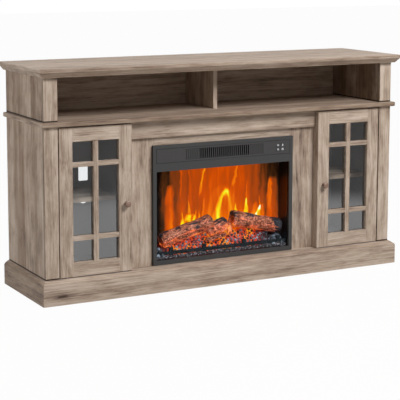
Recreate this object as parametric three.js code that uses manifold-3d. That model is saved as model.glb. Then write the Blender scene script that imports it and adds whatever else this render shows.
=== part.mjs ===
// Fireplace television stand: a wood-look cabinet with two open bays, two glazed doors and an
// electric fire insert. Millimetres, +Z up. The origin is on the floor under the middle of the
// overall box, and the front faces -Y. The stand measures 1473 wide, 394 deep and 813 high.

import * as THREE from "three";
import { mergeVertices } from "three/addons/utils/BufferGeometryUtils.js";
import Module from "manifold-3d";

const wasm = await Module();
wasm.setup();

// Clearances
const seam = 0.3; // between two pieces that rest on each other
const overcut = 5; // how far a cutting shape runs past the face it cuts

// Heights, stacked from the floor to the top
const boardTop = 86; // top face of the bottom board
const boardThickness = 15;
const trimHeight = 435; // fire insert's front trim
const railShow = 30; // surround rail seen above the trim
const friezeHeight = 63;
const bandThickness = 17; // shelf board that shows as a band round the stand
const bayHeight = 152; // open bays
const crownThickness = 30;

// Widths, from the middle to one side
const trimWidth = 582;
const stileShow = 97; // surround stile seen beside the trim
const doorLap = 2; // door reaches this far past the partition's face
const doorWidth = 274;
const hingeGap = 3.5; // between a door and its post
const postWidth = 50;

// Depths, from the face of the posts
const bodyDepth = 362;
const postDepth = 15;
const backInset = 322; // front face of the back sheet
const backThickness = 3;
const surroundDepth = 39; // front face of the surround
const surroundThickness = 15;
const friezeStand = 14; // frieze stands proud of the surround
const trimStand = 12; // trim stands proud of the surround
const partitionThickness = 15;
const partitionSetback = 20.5; // clear of the closed door's back
const dividerThickness = 16;
const dividerSetback = 102;

// Overhangs past the posts
const crownSide = 23;
const crownFront = 28;
const crownBack = 4;
const bandSide = 12.6;
const bandFront = 14;
const bandRound = 4;
const plinthSide = 19;
const plinthFront = 25;

// Crown moulding: an eased top edge over a straight face over a slope
const crownRound = 4;
const crownSlopeRun = 14;
const crownSlopeRise = 17;
const crownFillet = 1;

// Plinth moulding: a step, a slope and a short flat against the posts
const plinthFace = 73;
const plinthStep = 2.5;
const plinthSlopeFoot = 3;
const plinthFlat = 4;

// Doors
const doorThickness = 18;
const doorChamfer = 1.2;
const doorFoot = 2; // gap under a door
const doorHead = 5; // gap over a door
const doorStile = 50;
const doorRail = 50;
const muntinWidth = 18;
const muntinHeight = 16;
const muntinSetback = 1.5;
const muntinThickness = 12;
const lowLight = 76; // height of the lowest pair of lights
const highLight = 72;
const paneThickness = 3;
const paneLap = 7; // pane reaches this far behind the frame
const knobRadius = 12;
const knobNeck = 6.5;
const knobReach = 24;
const knobHeight = 242; // above the door's foot

// Slim butt hinges, folded in the gap between door and post
const hingeLength = 60;
const hingeEnd = 80; // hinge's middle from the end of the door
const leafThickness = 1;
const leafDepth = 14;
const barrelRadius = 1.5;
const barrelInset = 1.7; // barrel's axis behind the door's face
const pinRadius = 0.6;
const pinClearance = 0.25;
const knuckleLength = 18;

// Adjustable shelves in the door compartments
const shelfSetback = 105;
const shelfThickness = 15;
const shelfHeight = 241; // above the bottom board

// Openings in the back sheet, their heights above the bottom board
const cableWidth = 38;
const cableHeight = 56;
const cableCorner = 5;
const cableInset = 46; // centre from the partition's bay face
const cableFoot = 277.5;
const portRadius = 19;
const portHeight = 211;
const ventWidth = 260;
const ventHeight = 110;
const ventFoot = 164;

// Fire insert. Its depths run from the surround's face and its heights from the bottom board.
// Front trim
const trimBorder = 14;
const trimFoot = 16;
const trimHead = 14;
const middleRail = 31; // trim between the window and the control strip
const stripHeight = 50;
const stripThickness = 3;
const stripGap = 1.2; // shadow line round the strip
const ledge = 3.5; // lip that carries the control strip
const windowLip = 6; // trim in front of the glass
const windowRebate = 4; // glass reaches this far behind the trim
const windowGlass = 4;

// Control strip and keys
const slotCount = 24;
const slotPitch = 8.6;
const slotWidth = 5;
const slotHeight = 38;
const blindCount = 7; // shallow slots at each end of the row
const blindDepth = 2;
const keyWidth = 13;
const keyHeight = 11;
const keyGap = 0.5;
const keySpacing = 20;
const keyRow = 16;
const keysInset = 41; // middle of the keys from the strip's right end
const keyStand = 0.5;
const keyFlange = 1.2;
const keyStem = 2;
const keyStemLength = 2.5;
const keyTravel = 0.6;
const keyBoardThickness = 1.6;
const keyBoardWidth = 68;

// Sheet metal case
const sheet = 1.5;
const caseDepth = 176;
const caseSideGap = 12.5; // case side from the trim's edge
const caseHeadGap = 6; // case top from the trim's top
const caseClearance = 3.5; // case to the surround
const deckRise = 10.3; // heater deck over the window
const intakeCount = 8;
const intakePitch = 24;
const intakeWidth = 6;
const intakeHeight = 40;

// Logs, embers and screen
const bedEnd = 0.5; // bed to the case's side
const bedHeight = 63;
const bedGap = 0.5; // bed to the screen
const screenFront = 65;
const screenThickness = 3;
const lumpHeight = 2.4;
const lumpLength = 9;
const lumpFoot = 22; // the surface starts to roll above this height
const lumpBlend = 12;
const grateFront = 9.6;
const grateDepth = 8;
const grateFoot = 30;
const grateHeight = 12;
const postBlock = 15;
const postRise = 14;
const postDrop = 12;
const logRadius = 28;
const logDepth = 45; // log axes behind the surround's face
const twigDepth = 27;
const logSideGap = 1; // log set to the case's side
const logEndRound = 0.03; // share of a log's length
const lightEnd = 46; // light board from the bed's end
const lightFront = 27;
const lightDepth = 28;
const lightThickness = 1.6;
const ledCount = 12;
const ledSize = 5;

// Flame spindle and its motor
const spindleDepth = 111;
const spindleHeight = 64;
const rodRadius = 3;
const runningGap = 0.4;
const flagCount = 10;
const flagRadius = 21;
const flagGap = 12;
const flagThickness = 1;
const spindleMotorRadius = 25;
const spindleMotorLength = 18;
const spindleMotorBore = 8;

// Heater and blower
const blowerDepth = 73;
const blowerDrop = 4; // shaft under the middle of the slots
const rotorRadius = 19;
const rotorDisc = 2;
const bladeCount = 16;
const bladeDepth = 5;
const bladeThickness = 1;
const bladeTip = 0.5; // blade inside the end discs' edge
const scrollClearance = 5;
const scrollWall = 2.5;
const scrollEnd = 3;
const rotorEndGap = 3;
const ductHeight = 39;
const ductFront = 2;
const intakeDuct = 16;
const intakeReach = 34;
const blowerMotorRadius = 22;
const blowerMotorLength = 40;
const blowerShaftReach = 20;
const heaterFront = 7;
const heaterDepth = 12;
const heaterRail = 4;
const heaterFin = 2;
const heaterFins = 21;
const heaterInset = 5.2; // first fin from the rotor's end

// Hole for the power lead in the back of the case
const leadHoleInset = 78.5; // from the case's right side
const leadHoleHeight = 34;
const leadHoleRadius = 8.3;

// Places worked out from the sizes above
const half = trimWidth / 2 + stileShow - doorLap + doorWidth + hingeGap + postWidth;
const partitionX = trimWidth / 2 + stileShow;
const postX = half - postWidth;
const doorInner = partitionX - doorLap;
const doorMiddle = doorInner + doorWidth / 2;
const friezeFoot = boardTop + trimHeight + railShow;
const bandFoot = friezeFoot + friezeHeight;
const bandTop = bandFoot + bandThickness;
const bayTop = bandTop + bayHeight;
const fullDepth = crownFront + bodyDepth + crownBack;
const faceY = crownFront - fullDepth / 2;

// The same for the insert, in its own depths and heights
const trimFront = -trimStand;
const stripTop = trimHeight - trimHead;
const stripFoot = stripTop - stripHeight;
const stripMiddle = (stripTop + stripFoot) / 2;
const windowFoot = trimFoot;
const windowTop = stripFoot - middleRail;
const windowHalf = trimWidth / 2 - trimBorder;
const stripHalf = windowHalf;
const glassFront = trimFront + windowLip + seam;
const caseHalf = trimWidth / 2 - caseSideGap;
const caseInner = caseHalf - sheet;
const caseFloor = seam + sheet;
const caseTop = trimHeight - caseHeadGap;
const deckFoot = windowTop + deckRise;
const deckTop = deckFoot + sheet;
const surroundInner = caseHalf + caseClearance;
const railFoot = boardTop + caseTop + caseClearance;
const bedHalf = caseInner - bedEnd;
const bedDepth = screenFront - bedGap - seam;
const lightHalf = bedHalf - lightEnd;
const flagPitch = (bedHalf * 2) / (flagCount + 2);
const blowerHeight = stripMiddle - blowerDrop;
const rotorLength = slotCount * slotPitch;
const scrollInner = rotorRadius + scrollClearance;
const scrollHalf = rotorLength / 2 + rotorEndGap;
const housingHalf = scrollHalf + scrollEnd;
const sides = [
  ["left", -1],
  ["right", 1],
];

// Finishes, one new material for each piece
const finishes = {
  oak: { color: 0xac9b8c, roughness: 0.62, metalness: 0 },
  backSheet: { color: 0x8c7d70, roughness: 0.7, metalness: 0 },
  knobWood: { color: 0x8a7264, roughness: 0.5, metalness: 0 },
  clearGlass: { color: 0xb8c0c2, roughness: 0.05, metalness: 0, transparent: true, opacity: 0.3 },
  hingeMetal: { color: 0x3a3532, roughness: 0.4, metalness: 0.85 },
  blackTrim: { color: 0x444546, roughness: 0.5, metalness: 0.2 },
  caseMetal: { color: 0x232324, roughness: 0.6, metalness: 0.4 },
  keyPlastic: { color: 0x2f3031, roughness: 0.45, metalness: 0 },
  flameGlass: { color: 0xd4560a, roughness: 0.3, metalness: 0 },
  logResin: { color: 0x9a5a44, roughness: 0.8, metalness: 0 },
  emberResin: { color: 0x6b3a2c, roughness: 0.8, metalness: 0 },
  grateBlack: { color: 0x2a3033, roughness: 0.6, metalness: 0.1 },
  circuit: { color: 0x1f5a3c, roughness: 0.5, metalness: 0 },
  aluminium: { color: 0xb9bcbe, roughness: 0.35, metalness: 1 },
  motorSteel: { color: 0x8d9092, roughness: 0.4, metalness: 0.9 },
  ceramic: { color: 0xd9d5cc, roughness: 0.6, metalness: 0 },
};

const stand = new THREE.Group();
const cabinet = new THREE.Group();
cabinet.position.y = faceY; // inside this group y is the depth behind the posts' face
stand.add(cabinet);

function piece(group, name, geometry, finish) {
  const mesh = new THREE.Mesh(geometry, new THREE.MeshStandardMaterial(finishes[finish]));
  mesh.name = name;
  group.add(mesh);
  return mesh;
}

// A straight board, given by its two ends along x, y and z
function board(group, name, finish, [x0, x1], [y0, y1], [z0, z1]) {
  const mesh = piece(group, name, new THREE.BoxGeometry(x1 - x0, y1 - y0, z1 - z0), finish);
  mesh.position.set((x0 + x1) / 2, (y0 + y1) / 2, (z0 + z1) / 2);
  return mesh;
}

// The same ends on the left or the right side
function mirrored(sign, x0, x1) {
  return sign > 0 ? [x0, x1] : [-x1, -x0];
}

function block([x0, x1], [y0, y1], [z0, z1]) {
  const geometry = new THREE.BoxGeometry(x1 - x0, y1 - y0, z1 - z0);
  return geometry.translate((x0 + x1) / 2, (y0 + y1) / 2, (z0 + z1) / 2);
}

function outline(points) {
  return new THREE.Shape(points.map(([a, b]) => new THREE.Vector2(a, b)));
}

function rectangle(a0, a1, b0, b1) {
  return outline([[a0, b0], [a1, b0], [a1, b1], [a0, b1]]);
}

function roundedRectangle(a0, a1, b0, b1, radius) {
  const shape = new THREE.Shape();
  shape.moveTo(a0 + radius, b0);
  shape.lineTo(a1 - radius, b0);
  shape.absarc(a1 - radius, b0 + radius, radius, -Math.PI / 2, 0);
  shape.lineTo(a1, b1 - radius);
  shape.absarc(a1 - radius, b1 - radius, radius, 0, Math.PI / 2);
  shape.lineTo(a0 + radius, b1);
  shape.absarc(a0 + radius, b1 - radius, radius, Math.PI / 2, Math.PI);
  shape.lineTo(a0, b0 + radius);
  shape.absarc(a0 + radius, b0 + radius, radius, Math.PI, Math.PI * 1.5);
  return shape;
}

function extrude(shape, length, curveSegments = 4) {
  return new THREE.ExtrudeGeometry(shape, { depth: length, bevelEnabled: false, curveSegments });
}

// A shape drawn in (y, z) and pushed along x
function alongX(shape, x0, x1) {
  const turn = new THREE.Matrix4().set(0, 0, 1, x0, 1, 0, 0, 0, 0, 1, 0, 0, 0, 0, 0, 1);
  return extrude(shape, x1 - x0).applyMatrix4(turn);
}

// A shape drawn in (x, z) and pushed along y
function alongY(shape, y0, y1, curveSegments) {
  const turn = new THREE.Matrix4().set(1, 0, 0, 0, 0, 0, -1, y1, 0, 1, 0, 0, 0, 0, 0, 1);
  return extrude(shape, y1 - y0, curveSegments).applyMatrix4(turn);
}

// A shape drawn in (x, y) and pushed up
function alongZ(shape, z0, z1) {
  return extrude(shape, z1 - z0).translate(0, 0, z0);
}

// A round bar along x or y
function barX(radius, x0, x1, y, z, segments = 20) {
  const geometry = new THREE.CylinderGeometry(radius, radius, x1 - x0, segments);
  return geometry.rotateZ(Math.PI / 2).translate((x0 + x1) / 2, y, z);
}

function barY(radius, y0, y1, x, z, segments = 20) {
  const geometry = new THREE.CylinderGeometry(radius, radius, y1 - y0, segments);
  return geometry.translate(x, (y0 + y1) / 2, z);
}

function barZ(radius, z0, z1, x, y, segments = 16) {
  const geometry = new THREE.CylinderGeometry(radius, radius, z1 - z0, segments);
  return geometry.rotateX(Math.PI / 2).translate(x, y, (z0 + z1) / 2);
}

function solid(geometry) {
  const bare = geometry.clone();
  bare.deleteAttribute("normal");
  bare.deleteAttribute("uv");
  const merged = mergeVertices(bare);
  const vertProperties = new Float32Array(merged.attributes.position.array);
  const triVerts = new Uint32Array(merged.index.array);
  return new wasm.Manifold(new wasm.Mesh({ numProp: 3, vertProperties, triVerts }));
}

function surface(manifold) {
  const mesh = manifold.getMesh();
  const geometry = new THREE.BufferGeometry();
  geometry.setAttribute("position", new THREE.BufferAttribute(mesh.vertProperties, 3));
  geometry.setIndex(new THREE.BufferAttribute(mesh.triVerts, 1));
  return geometry;
}

function joined(geometries) {
  return geometries.map(solid).reduce((all, next) => all.add(next));
}

function cut(geometry, cutters) {
  return surface(solid(geometry).subtract(joined(cutters)));
}

// Crown slab: a board whose front and side edges are moulded
function crownCutter(length) {
  const slopeTop = crownFillet + crownSlopeRise;
  const shape = new THREE.Shape();
  shape.moveTo(-crownSlopeRun, -overcut);
  shape.lineTo(-crownSlopeRun, crownFillet);
  shape.lineTo(0, slopeTop);
  shape.lineTo(0, crownThickness - crownRound);
  shape.absarc(-crownRound, crownThickness - crownRound, crownRound, 0, Math.PI / 2);
  shape.lineTo(-crownRound, crownThickness + overcut);
  shape.lineTo(overcut, crownThickness + overcut);
  shape.lineTo(overcut, -overcut);
  return extrude(shape, length).translate(0, 0, -length / 2).rotateX(Math.PI / 2);
}

function addCrown() {
  const reach = half + crownSide;
  const y0 = -crownFront;
  const y1 = bodyDepth + crownBack;
  const slab = block([-reach, reach], [y0, y1], [bayTop, bayTop + crownThickness]);
  const endCut = fullDepth * 2;
  const right = crownCutter(endCut).translate(reach, (y0 + y1) / 2, bayTop);
  const left = crownCutter(endCut).rotateZ(Math.PI).translate(-reach, (y0 + y1) / 2, bayTop);
  const front = crownCutter(reach * 2 + overcut * 2).rotateZ(-Math.PI / 2).translate(0, y0, bayTop);
  piece(cabinet, "top_slab", cut(slab, [right, left, front]), "oak");
}

// Middle shelf: its eased edge shows as a band, and it is cut back for the back sheet
function addMidShelf() {
  const reach = half + bandSide;
  const inner = postX - seam;
  const notch = backInset - seam;
  const shape = outline([
    [-reach, -bandFront],
    [reach, -bandFront],
    [reach, bodyDepth],
    [inner, bodyDepth],
    [inner, notch],
    [-inner, notch],
    [-inner, bodyDepth],
    [-reach, bodyDepth],
  ]);
  const settings = {
    depth: bandThickness - bandRound * 2,
    bevelSize: bandRound,
    bevelThickness: bandRound,
    bevelOffset: -bandRound,
    bevelSegments: 3,
    curveSegments: 1,
  };
  const geometry = new THREE.ExtrudeGeometry(shape, settings);
  piece(cabinet, "mid_shelf", geometry.translate(0, 0, bandFoot + bandRound), "oak");
}

// Posts and side panels, below and above the band
function addSides() {
  const tiers = [
    ["lower", 0, bandFoot - seam],
    ["upper", bandTop + seam, bayTop - seam],
  ];
  for (const [side, sign] of sides) {
    const across = mirrored(sign, postX, half);
    for (const [tier, foot, head] of tiers) {
      board(cabinet, `${tier}_post_${side}`, "oak", across, [0, postDepth], [foot, head]);
      const run = [postDepth + seam, bodyDepth];
      board(cabinet, `${tier}_side_${side}`, "oak", across, run, [foot, head]);
    }
  }
}

function addCarcass() {
  const inner = postX - seam;
  const toBack = backInset - seam;
  const boardZ = [boardTop - boardThickness, boardTop];
  board(cabinet, "bottom_board", "oak", [-inner, inner], [0, toBack], boardZ);
  const lower = [boardTop + seam, bandFoot - seam];
  for (const [side, sign] of sides) {
    const across = mirrored(sign, partitionX, partitionX + partitionThickness);
    const run = [partitionSetback, toBack];
    board(cabinet, `partition_${side}`, "oak", across, run, lower);
    const shelf = mirrored(sign, partitionX + partitionThickness + seam, postX - seam);
    const foot = boardTop + shelfHeight;
    const rise = [foot, foot + shelfThickness];
    board(cabinet, `adjustable_shelf_${side}`, "oak", shelf, [shelfSetback, toBack], rise);
  }
  const halfDivider = dividerThickness / 2;
  const bay = [bandTop + seam, bayTop - seam];
  board(cabinet, "bay_divider", "oak", [-halfDivider, halfDivider], [dividerSetback, toBack], bay);
}

// Back sheet: a slot and a round port in each door compartment, and a vent behind the insert
function addBackSheet() {
  const inner = postX - seam;
  const shape = rectangle(-inner, inner, boardTop - boardThickness, bayTop - seam);
  for (const [, sign] of sides) {
    const x = sign * (partitionX + cableInset);
    const [x0, x1] = [x - cableWidth / 2, x + cableWidth / 2];
    const foot = boardTop + cableFoot;
    const slot = roundedRectangle(x0, x1, foot, foot + cableHeight, cableCorner);
    const port = new THREE.Path();
    port.absarc(x, boardTop + portHeight, portRadius, 0, Math.PI * 2);
    shape.holes.push(slot, port);
  }
  const [halfVent, foot] = [ventWidth / 2, boardTop + ventFoot];
  shape.holes.push(roundedRectangle(-halfVent, halfVent, foot, foot + ventHeight, cableCorner));
  const geometry = alongY(shape, backInset, backInset + backThickness, 8);
  piece(cabinet, "back_sheet", geometry, "backSheet");
}

// Plinth: three moulded boards, mitred at the front corners
function plinthProfile(overhang) {
  const run = (depth) => (depth / plinthFront) * overhang;
  return [
    [run(plinthFront), 0],
    [run(plinthFront), plinthFace],
    [run(plinthFront - plinthStep), plinthFace],
    [run(plinthFront - plinthStep), plinthFace + plinthSlopeFoot],
    [run(plinthFlat), boardTop],
    [seam, boardTop],
    [seam, 0],
  ];
}

function addPlinth() {
  const reach = half + plinthSide;
  const front = alongX(outline(plinthProfile(plinthFront).map(([o, z]) => [-o, z])), -reach, reach);
  const frontPlan = outline([
    [-half + seam, 0],
    [half - seam, 0],
    [reach - seam, -plinthFront],
    [-reach + seam, -plinthFront],
  ]);
  const frontLimit = alongZ(frontPlan, 0, boardTop);
  piece(cabinet, "plinth_front", surface(solid(front).intersect(solid(frontLimit))), "oak");
  for (const [side, sign] of sides) {
    const profile = plinthProfile(plinthSide).map(([o, z]) => [sign * (half + o), z]);
    const run = alongY(outline(profile), -plinthFront, bodyDepth);
    const plan = outline([
      [sign * half, 0],
      [sign * reach, -plinthFront],
      [sign * reach, bodyDepth],
      [sign * half, bodyDepth],
    ]);
    const limit = alongZ(plan, 0, boardTop);
    piece(cabinet, `plinth_${side}`, surface(solid(run).intersect(solid(limit))), "oak");
  }
}

// Frieze and surround: what frames the insert between the partitions
function addSurround() {
  const inner = partitionX - seam;
  const back = surroundDepth + surroundThickness;
  const head = bandFoot - seam;
  const friezeRun = [surroundDepth - friezeStand, surroundDepth - seam];
  board(cabinet, "frieze_board", "oak", [-inner, inner], friezeRun, [friezeFoot, head]);
  const railHalf = surroundInner - seam;
  const across = [-railHalf, railHalf];
  board(cabinet, "surround_rail", "oak", across, [surroundDepth, back], [railFoot, head]);
  for (const [side, sign] of sides) {
    const stile = mirrored(sign, surroundInner, inner);
    const rise = [boardTop + seam, head];
    board(cabinet, `surround_stile_${side}`, "oak", stile, [surroundDepth, back], rise);
  }
}

// Doors: each group's origin is at the middle of the door's foot, on its front face
const doorFootZ = boardTop + doorFoot;
const doorHeight = bandFoot - doorHead - doorFootZ;
const openHalf = doorWidth / 2 - doorStile;
const openFoot = doorRail;
const openHead = doorHeight - doorRail;
const rebateFront = muntinSetback + muntinThickness;

function doorFrame() {
  const shape = rectangle(-doorWidth / 2, doorWidth / 2, 0, doorHeight);
  shape.holes.push(rectangle(-openHalf, openHalf, openFoot, openHead));
  const settings = {
    depth: doorThickness - doorChamfer * 2,
    bevelSize: doorChamfer,
    bevelThickness: doorChamfer,
    bevelOffset: -doorChamfer,
    bevelSegments: 1,
  };
  const frame = new THREE.ExtrudeGeometry(shape, settings);
  frame.rotateX(Math.PI / 2).translate(0, doorThickness - doorChamfer, 0);
  const lap = paneLap + seam;
  const rebate = block(
    [-openHalf - lap, openHalf + lap],
    [rebateFront, doorThickness + overcut],
    [openFoot - lap, openHead + lap],
  );
  return cut(frame, [rebate]);
}

function muntinGrid() {
  const y = [muntinSetback, rebateFront];
  const x = [-openHalf + seam, openHalf - seam];
  const z = [openFoot + seam, openHead - seam];
  const upright = block([-muntinWidth / 2, muntinWidth / 2], y, z);
  const lowBar = openFoot + lowLight;
  const highBar = openHead - highLight - muntinHeight;
  const bars = [lowBar, highBar].map((foot) => block(x, y, [foot, foot + muntinHeight]));
  return surface(joined([upright, ...bars]));
}

function knob() {
  const profile = [
    [0, 0],
    [knobNeck, 0],
    [knobNeck, knobReach * 0.3],
    [knobRadius * 0.85, knobReach * 0.5],
    [knobRadius, knobReach * 0.7],
    [knobRadius * 0.92, knobReach * 0.88],
    [knobRadius * 0.6, knobReach * 0.97],
    [0, knobReach],
  ];
  return new THREE.LatheGeometry(profile.map(([r, h]) => new THREE.Vector2(r, h)), 24);
}

// Hinge leaves. The door's leaf carries the two outer knuckles, the post's leaf the middle one and
// the pin. Local x runs from the axis into the door, y from the axis towards the back.
function knuckleSpans() {
  const low = [0, knuckleLength];
  const middle = [knuckleLength + seam, hingeLength - knuckleLength - seam];
  const high = [hingeLength - knuckleLength, hingeLength];
  return { low, middle, high };
}

function doorLeaf(sign) {
  const { low, middle, high } = knuckleSpans();
  const inner = hingeGap / 2 - seam;
  const across = mirrored(-sign, inner - leafThickness, inner);
  const plate = block(across, [0, leafDepth], [0, hingeLength]);
  const knuckles = [low, high].map(([z0, z1]) => barZ(barrelRadius, z0, z1, 0, 0));
  const clear = barrelRadius + seam;
  const gap = [middle[0] - seam, middle[1] + seam];
  const notch = block([-clear, clear], [-clear, clear], gap);
  const bore = barZ(pinRadius + pinClearance, -overcut, hingeLength + overcut, 0, 0, 12);
  return surface(joined([plate, ...knuckles]).subtract(joined([notch, bore])));
}

function postLeaf(sign) {
  const { low, middle, high } = knuckleSpans();
  const outer = hingeGap / 2 - seam;
  const across = mirrored(sign, outer - leafThickness, outer);
  const plate = block(across, [0, leafDepth], [0, hingeLength]);
  const clear = barrelRadius + seam;
  const notches = [low, high].map(([z0, z1]) => {
    const [foot, head] = z0 === 0 ? [z0 - overcut, z1 + seam] : [z0 - seam, z1 + overcut];
    return block([-clear, clear], [-clear, clear], [foot, head]);
  });
  const knuckle = barZ(barrelRadius, middle[0], middle[1], 0, 0);
  const pin = barZ(pinRadius, 0, hingeLength, 0, 0, 12);
  const cutPlate = solid(plate).subtract(joined(notches));
  return surface(cutPlate.add(solid(knuckle)).add(solid(pin)));
}

function addDoors() {
  for (const [side, sign] of sides) {
    const door = new THREE.Group();
    door.position.set(sign * doorMiddle, 0, doorFootZ);
    cabinet.add(door);
    piece(door, `${side}_door_frame`, doorFrame(), "oak");
    piece(door, `${side}_muntin_grid`, muntinGrid(), "oak");
    const lap = paneLap;
    const paneY = [rebateFront + seam, rebateFront + seam + paneThickness];
    const paneX = [-openHalf - lap, openHalf + lap];
    board(door, `${side}_door_glass`, "clearGlass", paneX, paneY, [openFoot - lap, openHead + lap]);
    const handle = piece(door, `${side}_knob`, knob(), "knobWood");
    handle.rotation.x = Math.PI;
    handle.position.set(sign * (doorStile - doorWidth) / 2, -seam, knobHeight);
    const axisX = sign * (postX - hingeGap / 2);
    const places = [
      ["lower", doorFootZ + hingeEnd - hingeLength / 2],
      ["upper", doorFootZ + doorHeight - hingeEnd - hingeLength / 2],
    ];
    for (const [place, foot] of places) {
      const onDoor = piece(cabinet, `${side}_door_leaf_${place}`, doorLeaf(sign), "hingeMetal");
      onDoor.position.set(axisX, barrelInset, foot);
      const onPost = piece(cabinet, `${side}_post_leaf_${place}`, postLeaf(sign), "hingeMetal");
      onPost.position.set(axisX, barrelInset, foot);
    }
  }
}

// Fire insert: trim, control strip, keys and glass
const insert = new THREE.Group();
insert.position.set(0, surroundDepth, boardTop);
cabinet.add(insert);

function addTrim() {
  const across = trimWidth / 2;
  const body = block([-across, across], [trimFront, -seam], [seam, trimHeight]);
  const through = [trimFront - overcut, overcut];
  const window = block([-windowHalf, windowHalf], through, [windowFoot, windowTop]);
  const lap = windowRebate + seam;
  const rebate = block(
    [-windowHalf - lap, windowHalf + lap],
    [trimFront + windowLip, overcut],
    [windowFoot - lap, windowTop + lap],
  );
  const recess = block(
    [-stripHalf - stripGap, stripHalf + stripGap],
    [trimFront - overcut, trimFront + stripThickness + seam],
    [stripFoot - stripGap, stripTop + stripGap],
  );
  const duct = block(
    [-stripHalf + ledge, stripHalf - ledge],
    through,
    [stripFoot + ledge, stripTop - ledge],
  );
  piece(insert, "insert_trim", cut(body, [window, rebate, recess, duct]), "blackTrim");
  const paneX = windowHalf + windowRebate;
  const paneY = [glassFront, glassFront + windowGlass];
  const paneZ = [windowFoot - windowRebate, windowTop + windowRebate];
  board(insert, "insert_glass", "clearGlass", [-paneX, paneX], paneY, paneZ);
}

function keyPlaces() {
  const places = [];
  for (const [row, up] of [["upper", 1], ["lower", -1]]) {
    for (const [side, sign] of sides) {
      const x = stripHalf - keysInset + (sign * keySpacing) / 2;
      places.push([`key_${row}_${side}`, x, stripMiddle + (up * keyRow) / 2]);
    }
  }
  return places;
}

function addControlStrip() {
  const back = trimFront + stripThickness;
  const before = trimFront - overcut;
  const plate = block([-stripHalf, stripHalf], [trimFront, back], [stripFoot, stripTop]);
  const cutters = [];
  const first = -((slotCount - 1) / 2) * slotPitch;
  const rise = [stripMiddle - slotHeight / 2, stripMiddle + slotHeight / 2];
  for (let i = -blindCount; i < slotCount + blindCount; i += 1) {
    const x = first + i * slotPitch;
    const blind = i < 0 || i >= slotCount;
    const end = blind ? trimFront + blindDepth : back + overcut;
    cutters.push(block([x - slotWidth / 2, x + slotWidth / 2], [before, end], rise));
  }
  const dx = keyWidth / 2 + keyGap;
  const dz = keyHeight / 2 + keyGap;
  for (const [, x, height] of keyPlaces()) {
    cutters.push(block([x - dx, x + dx], [before, back + overcut], [height - dz, height + dz]));
  }
  piece(insert, "control_strip", cut(plate, cutters), "blackTrim");
}

function addKeys() {
  const flangeFront = trimFront + stripThickness + seam;
  const flangeBack = flangeFront + keyFlange;
  const stemEnd = flangeBack + keyStemLength;
  const dx = keyWidth / 2;
  const dz = keyHeight / 2;
  const lip = keyGap * 2;
  const cap = block([-dx, dx], [trimFront - keyStand, flangeBack], [-dz, dz]);
  const flange = block([-dx - lip, dx + lip], [flangeFront, flangeBack], [-dz - lip, dz + lip]);
  const stem = barY(keyStem, flangeFront, stemEnd, 0, 0, 12);
  for (const [name, x, height] of keyPlaces()) {
    const mesh = piece(insert, name, surface(joined([cap, flange, stem])), "keyPlastic");
    mesh.position.set(x, 0, height);
  }
  const boardFront = stemEnd + keyTravel + seam;
  const right = stripHalf - ledge - seam;
  const across = [right - keyBoardWidth, right];
  const run = [boardFront, boardFront + keyBoardThickness];
  const rise = [stripFoot + ledge + seam, stripTop - ledge - seam];
  board(insert, "key_board", "circuit", across, run, rise);
}

// A folded steel case, open at the front, and the deck that carries the heater and the blower
function addCase() {
  const outer = block([-caseHalf, caseHalf], [0, caseDepth], [seam, caseTop]);
  const hollowY = [-overcut, caseDepth - sheet];
  const hollow = block([-caseInner, caseInner], hollowY, [caseFloor, caseTop - sheet]);
  const through = [caseDepth - sheet - overcut, caseDepth + overcut];
  const rise = [blowerHeight - intakeHeight / 2, blowerHeight + intakeHeight / 2];
  const vents = [];
  for (let i = 0; i < intakeCount; i += 1) {
    const x = (i - (intakeCount - 1) / 2) * intakePitch;
    vents.push(block([x - intakeWidth / 2, x + intakeWidth / 2], through, rise));
  }
  const bearing = barX(
    rodRadius + runningGap,
    -caseHalf - overcut,
    -caseInner + overcut,
    spindleDepth,
    spindleHeight,
  );
  const holeX = caseHalf - leadHoleInset;
  const leadHole = barY(leadHoleRadius, through[0], through[1], holeX, leadHoleHeight);
  piece(insert, "insert_case", cut(outer, [hollow, bearing, leadHole, ...vents]), "caseMetal");
  const deckX = [-caseInner + seam, caseInner - seam];
  board(insert, "heater_deck", "caseMetal", deckX, [0, caseDepth - sheet - seam], [deckFoot, deckTop]);
}

// Ember bed: a moulded shell over the lights, lumpy on top. Its profile is given in shares of
// the bed's depth and height.
const bedTop = [
  [0, 0.317],
  [0.062, 0.381],
  [0.156, 0.413],
  [0.296, 0.444],
  [0.405, 0.571],
  [0.576, 0.73],
  [0.81, 0.889],
  [1, 1],
];
const bedHollow = [
  [0.9, 0],
  [0.9, 0.698],
  [0.374, 0.286],
  [0.374, 0],
];

function emberBed(hollow) {
  const foot = caseFloor + seam;
  const place = ([y, z]) => [seam + y * bedDepth, Math.max(z * bedHeight, foot)];
  const under = hollow ? bedHollow.map(place) : [];
  const shape = outline([place([0, 0]), ...bedTop.map(place), place([1, 0]), ...under]);
  const geometry = new THREE.ExtrudeGeometry(shape, {
    depth: bedHalf * 2,
    steps: 46,
    bevelEnabled: false,
  });
  const turn = new THREE.Matrix4();
  turn.set(0, 0, 1, -bedHalf, 1, 0, 0, 0, 0, 1, 0, 0, 0, 0, 0, 1);
  geometry.applyMatrix4(turn);
  const points = geometry.attributes.position;
  for (let i = 0; i < points.count; i += 1) {
    const [x, y, z] = [points.getX(i), points.getY(i), points.getZ(i)];
    const share = Math.min(Math.max((z - lumpFoot) / lumpBlend, 0), 1);
    const [u, v] = [x / lumpLength, y / lumpLength];
    const lump = Math.sin(u + 1.9 * v) + 0.7 * Math.sin(2.1 * u - 1.2 * v + 1.3);
    points.setZ(i, z + share * lump * lumpHeight);
  }
  return geometry;
}

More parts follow.
